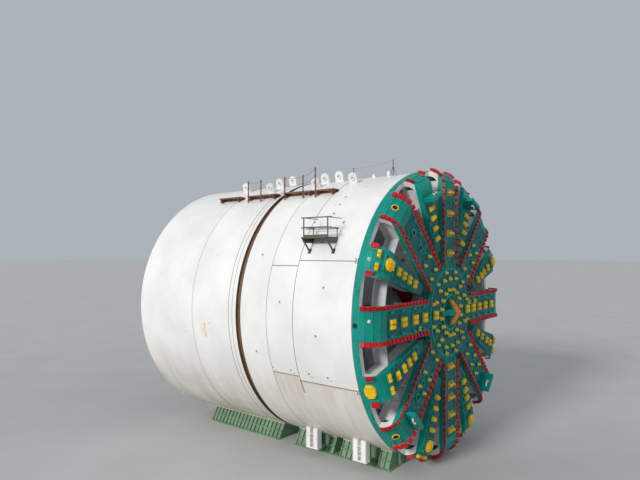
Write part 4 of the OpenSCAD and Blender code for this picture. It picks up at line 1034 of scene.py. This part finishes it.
def gripper():
    """Bolts, ribs and the suction pad of the gripper."""
    ribs, steel, pad = pieces(GRIPPER, gripper_fittings="gripper_orange", gripper_bolts="bare_steel",
                              gripper_pad="rubber")
    top = 6.30
    pad.hoop(0.46, 0.36, 0.0, 0.05, place(0, 15.2, top), 36, 0.012)
    steel.disc([(0.16, 0.0), (0.16, 0.03), (0.12, 0.06)], place(0, 15.2, top), 20)
    m = place(0, 15.7, 4.6) @ turn(-90, "X")
    for e in (-1, 1):
        for d in (14.62, 15.78):
            steel.bolt(place(e * 0.85, d, top), 0.04, 0.035)
        for z in (4.75, 5.2, 5.65):
            ribs.box(0.05, 1.9, 0.10, place(e * 0.77, 14.72, z), 0.01)
        for d in (13.9, 14.5, 15.1, 15.6):
            steel.bolt(place(e * 0.6, d, 4.6) @ turn(180, "X"), 0.025, 0.02)
        for x in (0.62, 0.2):
            ribs.box(0.06, 1.30, 0.05, m @ move(e * x, -0.72, -0.01), 0.008)
        steel.disc([(0.07, 0), (0.07, 0.09), (0.05, 0.10)], m @ move(e * 0.4, -0.5), 16)
    for y in (-0.10, -1.34):
        ribs.box(1.5, 0.07, 0.05, m @ move(y=y, z=-0.01), 0.008)


def erector_frame():
    """Wheels, bolts and drives on the frame that carries the erector's ring."""
    wheels, drives, side = pieces(TAIL, erector_rollers="bare_steel", erector_drives="motor_blue",
                                  erector_frame_trim="erector_yellow")
    for k in range(8):
        a = 45 * k + 22.5
        for e in (-1, 1):
            m = at(12.18, a) @ move(5.82, e * 0.155, -0.55) @ turn(-90 * e, "X")
            wheels.disc([(0.13, -0.01), (0.13, 0.03), (0.10, 0.05)], m, 20)
            wheels.bolt(m @ move(z=0.045), 0.04, 0.03)
            side.box(0.42, 0.03, 0.06, at(12.18, a) @ move(5.76, e * 0.15, -0.95), 0.006)
            for x in (5.6, 5.95):
                wheels.bolt(back(13.2, a) @ move(x, e * 0.1), 0.02, 0.02)
    for a in (45, 135, 225, 315):
        m = at(11.78, a, 5.97)
        drives.disc([(0.24, -0.02), (0.24, 0.28), (0.18, 0.32), (0.18, 0.72), (0.15, 0.76)], m, 24)
        drives.hoop(0.28, 0.22, 0.0, 0.05, m, 24, 0.01)
        drives.box(0.16, 0.22, 0.22, m @ move(x=-0.22, z=0.40), 0.02)
    for j in range(60):
        if j % 5:
            wheels.bolt(back(12.28, 6 * j, 6.18), 0.022, 0.025)
    for a in range(30, 360, 60):
        for e in (-1, 1):
            side.fin([(-0.25, 0.0), (0.25, 0.0), (0.25, 1.6), (-0.25, 1.6)], 0.02,
                     at(11.7, a, 5.97) @ move(y=e * 0.24))


def decks():
    """Grating, handrails, ladders and cabinets on the working decks."""
    grate, rails, boxes, steel = pieces(TAIL, deck_grating="walkway_grey", deck_rails="erector_yellow",
                                        deck_cabinets="door_blue", deck_consoles="bare_steel")
    d0, d1, half = 9.5, 12.1, 3.42
    for z in (0.62, 3.42):
        for i in range(34):
            grate.box(0.03, d1 - d0 - 0.1, 0.022, place(i * 0.2 - 3.3, (d0 + d1) / 2, z - 0.002))
        for i in range(7):
            grate.box(6.7, 0.03, 0.018, place(0, d0 + 0.15 + i * 0.38, z - 0.002))
        for d in (d0 + 0.06, d1 - 0.06):
            for h in (0.55, 1.08):
                rails.bar((-half, d, z + h), (half, d, z + h), 0.024)
            for x in (i * 1.14 - half for i in range(7)):
                rails.bar((x, d, z - 0.01), (x, d, z + 1.10), 0.024)
        rails.box(2 * half, 0.015, 0.12, place(0, d1 - 0.05, z))
    for x, w, h in ((-2.6, 0.9, 1.7), (-1.5, 0.9, 1.7), (2.4, 1.2, 1.9), (1.2, 0.7, 1.4)):
        m = place(x, 10.0, 0.64)
        boxes.box(w, 0.45, h, m, 0.03)
        boxes.box(w * 0.86, 0.03, h * 0.86, m @ move(y=0.23, z=h * 0.07), 0.008)
        steel.box(0.05, 0.04, 0.22, m @ move(w * 0.34, 0.26, h * 0.5), 0.008)
        steel.box(w * 0.5, 0.02, 0.10, m @ move(y=0.255, z=h * 0.8), 0.005)
    m = place(0.0, 10.2, 3.44)
    boxes.box(1.6, 0.6, 1.0, m, 0.04)
    steel.plate([(-0.7, 0.0), (0.7, 0.0), (0.7, 0.4), (-0.7, 0.4)], 0.03,
                m @ move(y=-0.25, z=1.0) @ turn(20, "X"))
    for e in (-1, 1):
        for x in (2.9, 2.48):
            steel.bar((e * x, 11.9, 0.62), (e * x, 11.9, 4.4), 0.025)
        for z in (0.85 + i * 0.29 for i in range(12)):
            steel.bar((e * 2.9, 11.9, z), (e * 2.48, 11.9, z), 0.016, 6)
        for z in (0.2, 1.0, 2.0, 3.0):
            for d in (9.8, 11.7):
                steel.bolt(place(e * 3.50, d, z) @ turn(90 * e, "Y"), 0.03, 0.03)


for dress in (edge_bits, face_bits, centre, head_plates, head_ribs, lugs, shell_details, crown, platform,
              cradles, chamber, machinery, screw_parts, jacks, thrust, erector_ring, gripper, erector_frame,
              decks):
    dress()
for piece in Piece.every:
    piece.make()


# ---------------------------------------------------------------- stage
def stage():
    """The photograph's camera, the floor, a key light from the camera's left and two soft lights."""
    scene = bpy.context.scene
    scene.view_settings.view_transform = "Standard"
    cam = bpy.data.objects.new("camera", bpy.data.cameras.new("camera"))
    scene.collection.objects.link(cam)
    scene.camera = cam
    cam.data.sensor_width, cam.data.lens, cam.data.clip_end = 36.0, 29.74, 2000
    yaw, pitch = math.radians(52.13), math.radians(1.385)
    look = Vector((math.sin(yaw) * math.cos(pitch), math.cos(yaw) * math.cos(pitch), math.sin(pitch)))
    cam.location = (-30.77, RIM - 15.17, 12.61)
    cam.rotation_euler = look.to_track_quat("-Z", "Y").to_euler()

    world = bpy.data.worlds.new("world")
    scene.world = world
    world.use_nodes = True
    back_light = world.node_tree.nodes["Background"]
    back_light.inputs["Color"].default_value = (0.80, 0.86, 0.95, 1)
    back_light.inputs["Strength"].default_value = 0.52

    for name, energy, angle, colour, to in (("key", 2.2, 12, (1.0, 0.975, 0.94), (0.92, -0.06, -0.37)),
                                            ("fill", 0.32, 60, (1.0, 1.0, 1.0), (0.1, 0.9, -0.35)),
                                            ("back", 0.65, 30, (1.0, 1.0, 1.0), (0.03, -0.97, -0.06))):
        sun = bpy.data.objects.new(name, bpy.data.lights.new(name, "SUN"))
        scene.collection.objects.link(sun)
        sun.data.energy, sun.data.angle, sun.data.color = energy, math.radians(angle), colour
        sun.rotation_euler = Vector(to).to_track_quat("-Z", "Y").to_euler()

    mesh = bpy.data.meshes.new("floor")
    s, below = 900, -0.002
    mesh.from_pydata([(-s, -s, below), (s, -s, below), (s, s, below), (-s, s, below)], [], [(0, 1, 2, 3)])
    floor = bpy.data.objects.new("floor", mesh)
    scene.collection.objects.link(floor)
    n = Nodes()
    n.mat.name = "floor"
    mesh.materials.append(n.finish(n.mix(n.noise(0.2, 3).ramp(0.2, 0.8), (0.50, 0.50, 0.49),
                                         (0.54, 0.54, 0.53)), 0.9))


stage()
